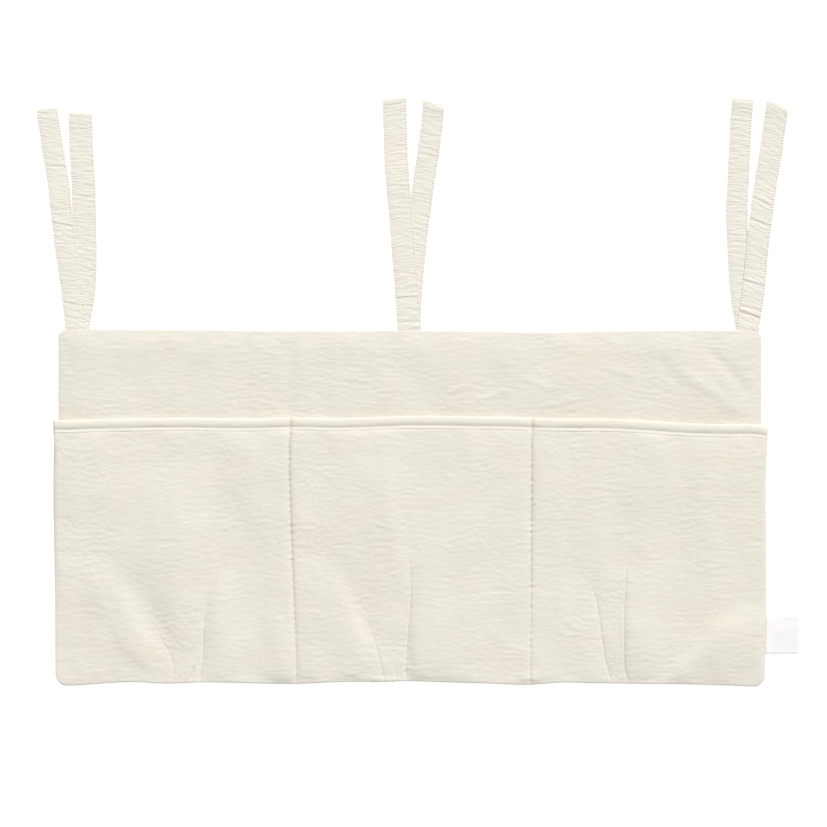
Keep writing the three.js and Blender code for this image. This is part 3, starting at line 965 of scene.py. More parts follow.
BROAD_CREASES = (
    Crease(table((-146, -216, -0.4), (-138, -226, -0.8), (-125, -241.5, -0.8), (-104, -254.6, -0.7),
                 (-78, -267.2, -0.4), (-57, -273.9, -0.2), (-45, -277.3, 0)), 9.0, 4.5, 1.4),
    Crease(table((-146, -205, 0), (-136, -211, 0.5), (-126, -219, 1.2), (-116, -227, 1.8),
                 (-104, -236, 2.1), (-91, -243, 2.3), (-78, -249.5, 2.3), (-64, -257.5, 1.8),
                 (-54, -262, 1), (-42, -268, 0)), 24.0, 12.0, 2.0),
    Crease(table((-146, -167, 0), (-130, -166, 0.9), (-110, -164.5, 1.8), (-95, -162, 2.3),
                 (-78, -158, 2.3), (-62, -152.5, 1.6), (-52, -149.5, 0.7), (-42, -148, 0)),
           5.0, 9.0, 1.8),
    Crease(table((-130, -190, 0), (-110, -190, 0.6), (-80, -191, 1.5), (-55, -193, 2.2),
                 (-30, -197, 2.6), (-11, -201, 2.5), (5, -207, 2), (20, -214, 1.3), (35, -220, 0.5),
                 (52, -224, 0)), 36.0, 22.0, 2.0),
    Crease(table((-146, -135, -0.3), (-120, -135, -1), (-90, -136, -1.7), (-60, -138, -2),
                 (-30, -142, -1.8), (0, -148, -1.2), (30, -152, -0.5), (55, -155, 0)),
           16.0, 15.0, 2.0),
    Crease(table((-146, -104, 1), (-137, -103.5, 2), (-125, -103.5, 2.1), (-105, -104, 1.4),
                 (-80, -105.5, 0.5), (-50, -107, 0)), 14.0, 4.5, 2.0),
    Crease(table((-145, -87.5, 0.8), (-134, -88, 1.7), (-120, -88.5, 1.5), (-100, -89.5, 1),
                 (-80, -91, 0.4), (-60, -92, 0)), 5.0, 13.0, 2.0),
    Crease(table((-146, -36, 0), (-130, -41, 0.8), (-116, -46, 1.6), (-103, -51, 2.2),
                 (-91, -55, 2.4), (-78, -60, 2.3), (-66, -66, 1.8), (-53, -74, 0.8), (-40, -82, 0)),
           24.0, 9.5, 2.0),
    Crease(table((-80, -14, 0), (-62, -15.5, 1), (-36, -17, 1.8), (-11, -21, 2.1),
                 (22, -26, 1.7), (44, -30, 0.6)), 38.0, 13.0, 2.0),
    Crease(table((-148, 8, 0.6), (-136, 8, 1.6), (-124, 8, 2.2), (-110, 8, 2), (-95, 8, 1.4),
                 (-78, 9, 0.6), (-60, 10, 0)), 5.0, 28.0, 2.0),
    Crease(table((-146, 187, 0.6), (-132, 187, 1.6), (-118, 187, 2.4), (-104, 187, 2.5),
                 (-92, 187.5, 1.8), (-78, 188, 1.1), (-65, 189, 0.4), (-52, 190, 0)),
           7.0, 20.0, 1.8),
    Crease(table((-60, 184, 0), (-46, 183, -0.9), (-36, 181, -0.8), (-11, 181, -0.6), (10, 182, 0)),
           12.0, 16.0, 2.0),
    Crease(table((-144, 231, 0.5), (-138, 236, 1.2), (-124, 251, 2.5), (-112, 263, 2.9),
                 (-103, 271, 2.7), (-92, 281, 1.5), (-82, 288, 0)), 11.0, 34.0, 2.0),
    Crease(table((-146, 209.1, -0.7), (-130, 220.9, -1.1), (-120, 229.3, -0.6), (-112, 236, 0)),
           5.0, 5.0, 1.6),
)

POCKET_FOLDS = (
    Fold(((-181.3, -134), (-182.5, -141), (-184, -148)), -1.6, 0.9, 0.2),
    Fold(((-162, -142), (-159, -147)), -0.8, 1.2, 0.2),
    Fold(((-34.5, -114), (-34.3, -146)), -0.6, 1.0),
    Fold(((-2.9, -131), (-1.5, -136.5)), 0.6, 1.6, 0.2),
    Fold(((94, -145), (108, -145)), 1.0, 6.0, 0.1),
    Fold(((60, -122), (56, -147)), -0.5, 3.5),
)

STRIP_FOLDS = (
    Fold(((-101, 72), (-102, 146)), -1.0, 6.5, 0.2),
    Fold(((222, 117), (245, 103), (262, 92), (284, 74)), 0.65, 5.0, 0.2),
    Fold(((243, 137), (258, 125), (272, 111), (287, 90)), -0.8, 5.0, 0.2),
    Fold(((206, 128), (217, 117), (230, 100)), -0.45, 5.5),
    Fold(((28, 96), (52, 104)), 0.45, 2.4),
    Fold(((55, 88), (88, 101)), 0.5, 2.6),
    Fold(((92, 109), (124, 99)), 0.5, 2.4),
    Fold(((110, 84), (150, 94)), 0.45, 2.6),
    Fold(((165, 118), (196, 108)), 0.4, 3.0),
    Fold(((-70, 112), (-28, 106)), 0.35, 3.4),
)


@dataclass(frozen=True)
class Layers:
    """How thick the cloth and padding are, and how high each layer stands."""

    pattern: Pattern
    cloth: float = 0.8
    gap: float = 0.3
    rim: float = 2.3
    panel_loft: float = 1.7
    round_over: float = 20.0
    under_roll: float = 10.0
    seam_lift: float = 1.2
    pocket_edge: float = 4.0
    shoulder: float = 3.3
    shoulder_round: float = 0.7
    brim: float = 0.4
    brim_reach: float = 7.0
    mouth_crown: float = 0.5
    body_crown: float = 0.3
    crown_change: float = 110.0
    crown_reach: float = 45.0
    hollow: float = 0.8
    hollow_reach: float = 9.0
    hollow_rise: Pair = (-110.0, -20.0)
    pinch_depth: float = 2.8
    pinch_width: float = 0.6
    pull: Ripple = Ripple(71, 0.35, 50.0, 3.4)
    pull_beat: float = 0.25
    pull_pitch: float = 5.6
    pull_low_share: float = 0.3
    pull_rise: Pair = (-140.0, 10.0)

    def loft(self, inside: Points) -> Points:
        """Gives the underside of the panel's front cloth."""
        return self.rim + self.panel_loft * swell(inside, self.round_over)

    def face_top(self, x: Points, y: Points) -> Points:
        """Gives the plain height of the pockets' outer cloth, without creases and crinkle.

        Args:
            x: Places across the cloth.
            y: Places up the cloth.

        Returns:
            The height, lower at the edges and where the dividing seams pull it down.
        """
        below = self.pattern.below_mouth(x, y) - self.pattern.binding_lap
        crown = self.mouth_crown + (self.body_crown - self.mouth_crown) * smooth(
            below, 0, self.crown_change)
        inside = self.pattern.pocket_inside(x, y)
        divider = self.pattern.to_divider(x, y)
        edge = self.pocket_edge + self.shoulder * pillow(inside, self.shoulder_round)
        edge = edge + self.brim * swell(inside, self.brim_reach)
        seam = self.hollow * (1.0 - swell(divider, self.hollow_reach)) * smooth(y, *self.hollow_rise)
        pull = 1.0 + self.pull.at(x, y) + self.pull_beat * np.cos(2 * math.pi * y / self.pull_pitch)
        low = self.pull_low_share
        pull = pull * (low + (1.0 - low) * smooth(y, *self.pull_rise))
        pinch = self.pinch_depth * np.exp(-divider / self.pinch_width) * pull
        return edge + crown * swell(inside, self.crown_reach) - seam - pinch


@dataclass(frozen=True)
class Lattice:
    """Values on an even square grid over the cloth, read smoothly between its points."""

    start: Pair
    step: float
    values: Points

    def at(self, x: Points, y: Points) -> Points:
        """Reads the values on a smooth surface through the grid's points.

        Args:
            x: Places across the cloth.
            y: Places up the cloth.

        Returns:
            The values at the places.
        """
        rows, columns = self.values.shape
        place_x = np.clip((x - self.start[0]) / self.step, 1.0, columns - 2.001)
        place_y = np.clip((y - self.start[1]) / self.step, 1.0, rows - 2.001)
        cell_x, cell_y = place_x.astype(int), place_y.astype(int)
        total = np.zeros(np.shape(place_x))
        for down, weight_y in zip(range(-1, 3), self._weights(place_y - cell_y)):
            for along, weight_x in zip(range(-1, 3), self._weights(place_x - cell_x)):
                total += weight_y * weight_x * self.values[cell_y + down, cell_x + along]
        return total

    @staticmethod
    def _weights(part: Points) -> tuple[Points, Points, Points, Points]:
        """Weighs the four nearest points for a smooth curve.

        Args:
            part: How far a place lies between the middle two, from 0 to 1.

        Returns:
            The four weights, in order.
        """
        return (
            ((2.0 - part) * part - 1.0) * part / 2.0,
            ((3.0 * part - 5.0) * part * part + 2.0) / 2.0,
            ((4.0 - 3.0 * part) * part + 1.0) * part / 2.0,
            (part - 1.0) * part * part / 2.0)


@dataclass(frozen=True)
class Settling:
    """Lets padded cloth that is sewn down at its seams settle, by simulation."""

    spacing: float = 5.5
    frames: int = 20
    push: float = 0.04
    ease: float = 0.004
    most: float = 0.9
    stiffness: float = 4.0
    quality: int = 8

    def settle(self, name: str, low: Pair, high: Pair,
               height: Callable[[Points, Points], Points],
               sewn: Callable[[Points, Points], Points]) -> Lattice:
        """Simulates the cloth over a rectangle and keeps how far it moved up or down.

        Args:
            name: The cloth's name while it is simulated.
            low: The rectangle's lower left corner.
            high: The rectangle's upper right corner.
            height: Gives the cloth's height at places, before it settles.
            sewn: Says which places are sewn down.
        """
        columns = round((high[0] - low[0]) / self.spacing) + 1
        rows = round((high[1] - low[1]) / self.spacing) + 1
        x, y = np.meshgrid(low[0] + self.spacing * np.arange(columns),
                           low[1] + self.spacing * np.arange(rows))
        before = np.stack([x, y, height(x, y)], axis=-1)
        grid = np.arange(rows * columns).reshape(rows, columns)
        piece = make_mesh(name, before.reshape(-1, 3), quads(grid))
        held = piece.vertex_groups.new(name="sewn")
        held.add([int(point) for point in grid[sewn(x, y)]], 1.0, "REPLACE")
        cloth = piece.modifiers.new("settling", "CLOTH")
        cloth.settings.vertex_group_mass = "sewn"
        cloth.settings.effector_weights.gravity = 0.0
        cloth.settings.use_pressure = True
        cloth.settings.uniform_pressure_force = self.push
        cloth.settings.shrink_min = -self.ease
        cloth.settings.bending_stiffness = self.stiffness
        cloth.settings.quality = self.quality
        cloth.point_cache.frame_end = self.frames
        scene = bpy.context.scene
        for frame_number in range(1, self.frames + 1):
            scene.frame_set(frame_number)
        settled = piece.evaluated_get(bpy.context.evaluated_depsgraph_get())
        places = np.empty(rows * columns * 3)
        settled.data.vertices.foreach_get("co", places)
        after = places.reshape(before.shape) / MM
        mesh = piece.data
        bpy.data.objects.remove(piece)
        bpy.data.meshes.remove(mesh)
        scene.frame_set(1)
        moved = after[..., 2] - before[..., 2]
        LOG.info("%s settled: it moved %.2f to %.2f mm", name, moved.min(), moved.max())
        return Lattice(low, self.spacing, moved * self.most / max(np.abs(moved).max(), self.most))


def lowest_nearby(heights: Points, rows: int, columns: int) -> Points:
    """Gives the lowest height near each place of a grid.

    Args:
        heights: The grid's heights.
        rows: How many rows away still count as near.
        columns: How many columns away still count as near.

    Returns:
        The lowest heights, in the same layout.
    """
    lowest = heights
    for axis, reach in enumerate((rows, columns)):
        wide = [(reach, reach) if side == axis else (0, 0) for side in range(2)]
        padded = np.pad(lowest, wide, mode="edge")
        count = lowest.shape[axis]
        lowest = np.min([np.take(padded, np.arange(shift, shift + count), axis=axis)
                         for shift in range(2 * reach + 1)], axis=0)
    return lowest


@dataclass(frozen=True)
class Thickness:
    """A cloth's thickness in millimetres, less at its edge, where it runs into a seam."""

    edge: float
    more: float
    reach: float

    def at(self, inside: Points) -> Points:
        """Gives the thickness at distances from the edge."""
        return self.edge + self.more * pillow(inside, self.reach)


@dataclass(frozen=True)
class PocketSizes:
    """How the pocket cloth is laid out, held down and shaped, in millimetres."""

    height: float = 221.0
    lowest_row: float = -148.0
    row_run: float = 222.0
    first_rows: tuple[float, ...] = (0.0, 0.2, 0.45, 0.8, 1.2, 1.7, 2.4)
    row_step: float = 1.02
    column_step: float = 2.6
    under_rows: int = 6
    mouth_fold: float = 1.5
    low: Pair = (-308.0, -156.0)
    high: Pair = (308.0, 86.0)
    sewn_edge: float = 3.5
    sewn_seam: float = 3.0
    sewn_mouth: float = 10.0
    waves: tuple[Ripple, ...] = (Ripple(5, 0.9, 30.0, 75.0), Ripple(6, 0.22, 13.0, 26.0))
    hem_pucker: Ripple = Ripple(7, 0.3, 3.4, 22.0)
    hem_pucker_place: float = 3.0
    hem_pucker_width: float = 8.0
    kept_seam: Pair = (-0.5, 3.0)
    kept_mouth: Pair = (8.5, 16.0)
    kept_edge: Pair = (-1.0, 7.0)
    seam_share: float = 0.3
    free_below: Pair = (8.5, 14.0)
    loose_edge: float = 9.0
    loose_seam: float = 8.0
    bound_crinkle: float = 0.15
    crinkle_edge: float = 2.5
    lowest: float = 3.2
    lowest_rise: float = 3.4
    lowest_reach: float = 12.0
    seam_depth: float = 1.7
    seam_width: float = 1.2
    contact_soft: float = 0.3
    puff: float = 1.2
    puff_from: float = 9.0
    puff_reach: float = 24.0
    puff_fade: Pair = (50.0, 200.0)
    gutter: float = 1.6
    gutter_width: float = 1.9
    gutter_edge: float = 3.0
    thickness: Thickness = Thickness(0.3, 0.4, 2.0)


@dataclass(frozen=True)
class PanelSizes:
    """How the back panel's cloths are laid out, held down and shaped, in millimetres."""

    half_width: float = 298.0
    height: float = 298.0
    hidden: float = 207.0
    hidden_rows: tuple[float, ...] = (0.0, 0.5, 1.2, 2.2, 4.0)
    hidden_step: float = 8.0
    shown_rows: tuple[float, ...] = (0.0, 0.2, 0.5, 0.9, 1.4, 2.1)
    shown_step: float = 0.9
    face_columns: float = 2.2
    back_rows: tuple[float, ...] = (0.0, 0.5, 1.2, 2.2, 3.4, 5.0)
    back_step: float = 2.0
    back_count: int = 145
    back_columns: float = 4.4
    under_rows: int = 4
    low: Pair = (-308.0, 50.0)
    high: Pair = (308.0, 160.0)
    sewn_edge: float = 3.0
    covered: float = 6.0
    waves: tuple[Ripple, ...] = (Ripple(15, 0.6, 30.0, 45.0), Ripple(16, 0.2, 12.0, 20.0))
    rim_drop: float = 0.45
    rim_reach: float = 0.9
    tuck: float = 0.6
    tuck_place: float = 1.0
    tuck_width: float = 8.0
    shaped_edge: float = 10.0
    loose_edge: float = 9.0
    crinkle_edge: float = 2.5
    pucker: Ripple = Ripple(17, 0.2, 4.0, 30.0)
    pucker_place: float = 2.0
    pucker_width: float = 5.0
    thickness: Thickness = Thickness(0.25, 0.45, 3.0)
    back_crinkle: float = 0.6
    back_lift: float = 0.1
    back_edge: Pair = (1.0, 8.0)
    back_thickness: Thickness = Thickness(0.35, 0.35, 3.0)


@dataclass(frozen=True)
class FillingSizes:
    """The lining and the waddings, in millimetres, and how many rows and columns they keep."""

    lining_near: tuple[int, int] = (5, 3)
    lining_rows: tuple[int, int, int] = (6, 1, 57)
    lining_columns: tuple[int, int] = (2, 3)
    lining_cloth: float = 0.6
    pad: float = 0.3
    pad_rise: float = 0.9
    pad_reach: float = 20.0
    wadding_near: tuple[int, int] = (6, 4)
    wadding_rows: tuple[int, int, int] = (10, 18, 49)
    wadding_columns: tuple[int, int] = (6, 4)
    wadding_drop: float = 0.95
    wadding_thick: float = 0.35
    panel_rows: tuple[float, float, int] = (0.03, 0.975, 49)
    panel_columns: float = 9.0
    panel_inset: int = 5
    panel_drop: float = 1.5
    panel_top: float = 1.5
    panel_low: float = 1.2


@dataclass(frozen=True)
class BindingSizes:
    """The binding strip's section and unevenness, in millimetres."""

    ends: Pair = (-299.6, 300.4)
    middle: Pair = (-296.6, 297.2)
    end_run: float = 3.0
    end_points: int = 6
    points: int = 680
    side_drop: float = 5.5
    # How far below the fold each row lies, and its height over the pocket cloth.
    front: tuple[Pair, ...] = (
        (11.0, -0.26), (10.9, -0.2), (10.6, -0.15), (10.2, -0.12), (9.7, -0.15), (9.2, -0.24),
        (8.8, -0.33), (8.4, -0.38), (8.0, -0.33), (7.4, -0.14), (6.4, 0.22), (5.4, 0.4), (4.4, 0.48),
        (3.4, 0.44), (2.4, 0.3), (1.6, 0.08), (0.9, -0.28), (0.4, -0.75), (0.1, -1.2), (0.0, -1.6))
    # The same drop, and how far the row has come from the fold to the strip's back.
    back: tuple[Pair, ...] = (
        (0.0, 0.35), (0.15, 0.65), (0.8, 0.93), (2.0, 1.0), (6.0, 1.0), (11.0, 1.0))
    back_depth: float = 3.4
    back_lowest: float = 3.6
    lift: float = 0.35
    cloth: float = 0.28
    base_lowest: float = 6.1
    gather: tuple[Ripple, ...] = (Ripple(31, 0.22, 21.0, row=0.3), Ripple(32, 0.12, 6.5, row=0.7))
    end_share: float = 0.4
    wave: Ripple = Ripple(33, 0.25, 13.0, row=0.1)
    wave_from: float = 9.5
    crinkle: Ripple = Ripple(34, 0.1, 7.0, 2.6)
    stitch_drop: float = 8.4
    pull_drop: float = 8.3
    pull_width: float = 1.1
    pull: float = 0.3
    pull_change: Ripple = Ripple(35, 1.0, 24.0, row=0.6)
    pull_beat: float = 0.12
    pull_pitch: float = 2.7
    pinch: float = 1.5
    pinch_width: float = 0.7
    hollow: float = 0.25
    hollow_width: float = 4.0


@dataclass(frozen=True)
class SeamSizes:
    """Where the stitches run and how thick their thread is, in millimetres."""

    fine: StitchLine = StitchLine(radius=0.17, dip=0.25)
    hand: StitchLine = StitchLine(pitch=3.3, radius=0.3)
    binding: tuple[float, float, int] = (-297.0, 298.0, 900)
    binding_sink: float = 0.6
    divider: tuple[float, float, int] = (-146.0, 60.5, 500)
    divider_sink: float = 0.5
    closing: tuple[float, float, int] = (-32.0, -12.0, 40)
    closing_drop: float = 0.1
    closing_level: float = 2.9


@dataclass
class CaddyBody:
    """The caddy's own cloth: its two panels, lining, padding, pockets, binding and seams."""

    dresser: Dresser
    pattern: Pattern = Pattern()
    pocket: PocketSizes = PocketSizes()
    panel: PanelSizes = PanelSizes()
    filling: FillingSizes = FillingSizes()
    binding: BindingSizes = BindingSizes()
    seams: SeamSizes = SeamSizes()
    edge_offsets: tuple[float, ...] = (0.0, 0.2, 0.5, 0.9, 1.4, 2.4, 4.2)
    crease_offsets: tuple[float, ...] = (0.0, 0.5, 1.1, 2.0, 3.8)
    passes: int = 3

    def __post_init__(self) -> None:
        """Works out the layers and crinkles, and lets the two front cloths settle."""
        self.layers = Layers(self.pattern)
        self.pocket_crinkle = Crinkle(11)
        self.strip_crinkle = Crinkle(23)
        self.back_crinkle = Crinkle(37, height=0.14)
        self.pocket_rise = Settling().settle(
            "pocket_cloth", self.pocket.low, self.pocket.high, self._shaped_height,
            self._pocket_sewn)
        self.strip_rise = Settling(ease=0.003, most=0.6).settle(
            "strip_cloth", self.panel.low, self.panel.high, self._strip_height, self._strip_sewn)

    def _guides(self, y: Points) -> list[Points]:
        """Gives every seam and crease that the pocket cloth's columns follow.

        Args:
            y: Places up the cloth.

        Returns:
            The x of each, from left to right.
        """
        left, right = self.pattern.pocket_sides(y)
        first, second = self.pattern.dividers(y)
        creases = [crease.place(y) for crease in CREASES]
        return [left, *creases[:2], first, *creases[2:4], second, *creases[4:], right]

    def _pocket_plan(self) -> tuple[Points, Points]:
        """Lays out the pocket cloth's grid, close together along seams and creases.

        Returns:
            The grid's x and y, in rows from the hem up to the mouth.
        """
        sizes = self.pocket
        lows = spaced(sizes.height, sizes.first_rows, sizes.row_step)
        short = (len(lows) - 1) % sizes.under_rows
        shares = np.interp(np.linspace(0, 1, len(lows) - short), np.linspace(0, 1, len(lows)), lows)
        shares = shares / sizes.height
        guides = self._guides(sizes.lowest_row + shares * sizes.row_run)
        places: list[tuple[int, float, float]] = []
        for gap in range(len(guides) - 1):
            near = self.edge_offsets if gap == 0 else self.crease_offsets
            far = self.edge_offsets if gap == len(guides) - 2 else self.crease_offsets
            widest = np.max(guides[gap + 1] - guides[gap]) - near[-1] - far[-1]
            places += [(gap, 0.0, offset) for offset in near[:-1]]
            count = max(round(widest / sizes.column_step), 1)
            for step in range(count + 1):
                share = step / count
                places.append((gap, share, near[-1] * (1 - share) - far[-1] * share))
            places += [(gap, 1.0, -offset) for offset in far[:0:-1][1:]]
        places.append((len(guides) - 2, 1.0, 0.0))
        half = self.panel.half_width
        x = np.tile(np.linspace(-half, half, len(places)), (len(shares), 1))
        y = np.zeros_like(x)
        for _ in range(self.passes):
            low, high = self.pattern.hem(x), self.pattern.mouth(x) - sizes.mouth_fold
            y = low + shares[:, None] * (high - low)
            inset = self.pattern.corner_inset(y - low, self.pattern.bottom_corner)
            columns = []
            for column, (gap, share, offset) in enumerate(places):
                lines = self._guides(y[:, column])
                lines[0] = lines[0] + inset[:, column]
                lines[-1] = lines[-1] - inset[:, column]
                columns.append(lines[gap] * (1 - share) + lines[gap + 1] * share + offset)
            x = np.stack(columns, axis=1)
        return x, y

    def _pocket_sewn(self, x: Points, y: Points) -> Points:
        """Says where the pocket cloth is sewn down.

        Args:
            x: Places across the cloth.
            y: Places up the cloth.

        Returns:
            Whether each place is at an edge, a dividing seam or the mouth.
        """
        sewn = self.pattern.pocket_inside(x, y) < self.pocket.sewn_edge
        sewn = sewn | (self.pattern.to_divider(x, y) < self.pocket.sewn_seam)
        return sewn | (self.pattern.below_mouth(x, y) < self.pocket.sewn_mouth)

    def _shaped_height(self, x: Points, y: Points) -> Points:
        """Gives the pocket cloth's height with its creases and folds, before it settles.

        Args:
            x: Places across the cloth.
            y: Places up the cloth.

        Returns:
            The height, in which the shapes fade out at the edges, seams and mouth.
        """
        sizes = self.pocket
        level = np.minimum(y, self.pattern.mouth(x) - self.pattern.binding_lap)
        shaped = sum(crease.field(x, y) for crease in CREASES + BROAD_CREASES)
        shaped = shaped + sum(fold.field(x, y) for fold in POCKET_FOLDS)
        for wave in sizes.waves:
            shaped = shaped + wave.at(x, y)
        above = y - self.pattern.hem(x)
        shaped = shaped + sizes.hem_pucker.at(x, above) * bell(
            above - sizes.hem_pucker_place, sizes.hem_pucker_width)
        kept = smooth(self.pattern.below_mouth(x, y), *sizes.kept_mouth)
        kept = kept * smooth(self.pattern.pocket_inside(x, y), *sizes.kept_edge)
        seam = smooth(self.pattern.to_divider(x, y), *sizes.kept_seam)
        kept = kept * (sizes.seam_share + (1.0 - sizes.seam_share) * seam)
        return self.layers.face_top(x, level) + shaped * kept

    def _face_height(self, x: Points, y: Points) -> Points:
        """Gives the finished pocket cloth's height.

        Args:
            x: Places across the cloth.
            y: Places up the cloth.

        Returns:
            The height, settled and crinkled, puffed up below the binding, and never so low that
            the cloth meets the layers under it.
        """
        sizes = self.pocket
        inside = self.pattern.pocket_inside(x, y)
        below = self.pattern.below_mouth(x, y)
        divider = self.pattern.to_divider(x, y)
        free = smooth(below, *sizes.free_below)
        loose = free * smooth(inside, 0.0, sizes.loose_edge) * smooth(divider, 0.0, sizes.loose_seam)
        crinkle = self.pocket_crinkle.field(x, y) * (
            sizes.bound_crinkle + (1.0 - sizes.bound_crinkle) * free)
        height = self._shaped_height(x, y) + self.pocket_rise.at(x, y) * loose
        lowest = sizes.lowest + sizes.lowest_rise * swell(inside, sizes.lowest_reach)
        lowest = lowest - self._seam_dip(divider)
        over = height - lowest
        height = lowest + 0.5 * (over + np.sqrt(over**2 + sizes.contact_soft))
        puff = sizes.puff * swell(below - sizes.puff_from, sizes.puff_reach) * (
            1.0 - smooth(below, *sizes.puff_fade))
        gutter = puff - sizes.gutter * bell(below - self.binding.stitch_drop, sizes.gutter_width)
        height = height + crinkle * np.minimum(inside / sizes.crinkle_edge, 1.0)
        return height + gutter * smooth(inside, 0.0, sizes.gutter_edge)

    def _seam_dip(self, divider: Points) -> Points:
        """Gives how far a dividing seam pulls the layers down, at distances from it."""
        return self.pocket.seam_depth * np.exp(-divider / self.pocket.seam_width)

    def make_pocket_face(self) -> bpy.types.Object:
        """Makes the pockets' outer cloth.

        Returns:
            The cloth, one sheet across all three pockets.
        """
        x, y = self._pocket_plan()
        z = self._face_height(x, y)
        thick = self.pocket.thickness.at(self.pattern.pocket_inside(x, y))
        piece = make_layer("pocket_face_cloth", x, y, z, z - thick, self.pocket.under_rows)
        self.dresser.dress(piece, Slot.MUSLIN, "pocket_face")
        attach(piece, Body.CADDY.value)
        return piece

    def _panel_plan(self, row_places: Points, column_step: float) -> tuple[Points, Points]:
        """Lays out a grid over the whole back panel.

        Args:
            row_places: The rows' places, as shares of the height from hem to top seam.
            column_step: The columns' spacing away from the sides.

        Returns:
            The grid's x and y.
        """
        half_width = self.panel.half_width
        near = spaced(half_width - 1.0, self.edge_offsets, column_step)
        places = np.concatenate([-(half_width - near), (half_width - near)[:-1][::-1]])
        x = np.tile(places, (len(row_places), 1))
        y = np.zeros_like(x)
        for _ in range(self.passes):
            low, high = self.pattern.hem(x), self.pattern.top(x)
            y = low + row_places[:, None] * (high - low)
            inset = np.maximum(
                self.pattern.corner_inset(y - low, self.pattern.bottom_corner),
                self.pattern.corner_inset(high - y, self.pattern.top_corner))
            left, right = self.pattern.panel_sides(y)
            middle = 0.5 * (left + right)
            half = 0.5 * (right - left) - inset
            x = middle + (places[None, :] / half_width) * half
        return x, y

    def _strip_sewn(self, x: Points, y: Points) -> Points:
        """Says where the strip's cloth is held: its seams, and all that the pockets cover."""
        inside = self.pattern.panel_inside(x, y)
        return (inside < self.panel.sewn_edge) | (y < self.pattern.mouth(x) - self.panel.covered)

    def _open_strip(self, x: Points, y: Points) -> Points:
        """Gives 1 on the plain strip and 0 under the pockets."""
        return smooth(y - self.pattern.mouth(x), -self.panel.covered, self.panel.covered)

    def _strip_height(self, x: Points, y: Points) -> Points:
        """Gives the height of the panel's front cloth with its folds, before it settles.

        Args:
            x: Places across the cloth.
            y: Places up the cloth.

        Returns:
            The height, a little lower where the pockets' mouth lies on it.
        """
        sizes = self.panel
        inside = self.pattern.panel_inside(x, y)
        shaped = sum(fold.field(x, y) for fold in STRIP_FOLDS)
        for wave in sizes.waves:
            shaped = shaped + wave.at(x, y)
        top = self.layers.loft(inside) + self.layers.cloth
        top = top - sizes.rim_drop * (1.0 - pillow(inside, sizes.rim_reach))
        tucked = sizes.tuck * bell(y - self.pattern.mouth(x) + sizes.tuck_place, sizes.tuck_width)
        shaped = self._open_strip(x, y) * shaped * smooth(inside, 0.0, sizes.shaped_edge)
        return top - tucked + shaped

    def make_panel_face(self) -> bpy.types.Object:
        """Makes the panel's front cloth, which shows as the plain strip above the pockets.

        Returns:
            The cloth, with few rows under the pockets and many on the strip.
        """
        sizes = self.panel
        hidden = spaced(sizes.hidden, sizes.hidden_rows, sizes.hidden_step)
        shown = spaced(sizes.height - sizes.hidden, sizes.shown_rows, sizes.shown_step)
        rows = np.concatenate([hidden[:-1], sizes.height - shown[::-1]]) / sizes.height
        short = (len(rows) - 1) % sizes.under_rows
        first = len(sizes.hidden_rows) + 1
        rows = np.delete(rows, np.arange(first, first + short))
        x, y = self._panel_plan(rows, sizes.face_columns)
        inside = self.pattern.panel_inside(x, y)
        crinkle = self.strip_crinkle.field(x, y) * np.minimum(inside / sizes.crinkle_edge, 1.0)
        pucker = sizes.pucker.at(x, y) * bell(inside - sizes.pucker_place, sizes.pucker_width)
        risen = self.strip_rise.at(x, y) * smooth(inside, 0.0, sizes.loose_edge)
        z = self._strip_height(x, y) + self._open_strip(x, y) * (crinkle + pucker + risen)
        under = z - sizes.thickness.at(inside)
        piece = make_layer("panel_face_cloth", x, y, z, under, sizes.under_rows)
        self.dresser.dress(piece, Slot.MUSLIN, "panel_face")
        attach(piece, Body.CADDY.value)
        return piece

    def make_back_cover(self) -> bpy.types.Object:
        """Makes the back cloth.

        Returns:
            The cloth, which lies on the floor and rolls up to the seam.
        """
        sizes = self.panel
        rows = spaced(sizes.height, sizes.back_rows, sizes.back_step)
        shares = np.linspace(0, 1, sizes.back_count)
        rows = np.interp(shares, np.linspace(0, 1, len(rows)), rows) / sizes.height
        x, y = self._panel_plan(rows, sizes.back_columns)
        inside = self.pattern.panel_inside(x, y)
        roll = self.layers.seam_lift * (1.0 - pillow(inside, self.layers.under_roll))
        crinkle = sizes.back_crinkle * self.back_crinkle.field(x, y) + sizes.back_lift
        z = roll + np.maximum(crinkle, 0.0) * smooth(inside, *sizes.back_edge)
        inner = z + sizes.back_thickness.at(inside)
        piece = make_layer(
            "back_cover_cloth", x[::-1], y[::-1], z[::-1], inner[::-1], sizes.under_rows)
        self.dresser.dress(piece, Slot.MUSLIN, "back_cover")
        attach(piece, Body.CADDY.value)
        return piece

    def _under_face(self, near: tuple[int, int], row_range: tuple[int, int, int],
                    column_range: tuple[int, int]) -> tuple[Points, Points, Points]:
        """Lays out a coarser grid under the pocket cloth, for the layers inside it.

        Args:
            near: How many rows and columns away the lowest height is looked for.
            row_range: How many rows are left out below and above, and how many are kept.
            column_range: How many columns are left out at each side, and of how many one is kept.

        Returns:
            The grid's x and y, and the lowest height of the pocket cloth near each place.
        """
        x, y = self._pocket_plan()
        lowest = lowest_nearby(self._face_height(x, y), *near)
        below, above, count = row_range
        rows = np.linspace(below, x.shape[0] - above, count).round().astype(int)
        aside, step = column_range
        columns = np.arange(aside, x.shape[1] - aside, step)
        x, y, lowest = (values[rows][:, columns] for values in (x, y, lowest))
        return x, y, lowest

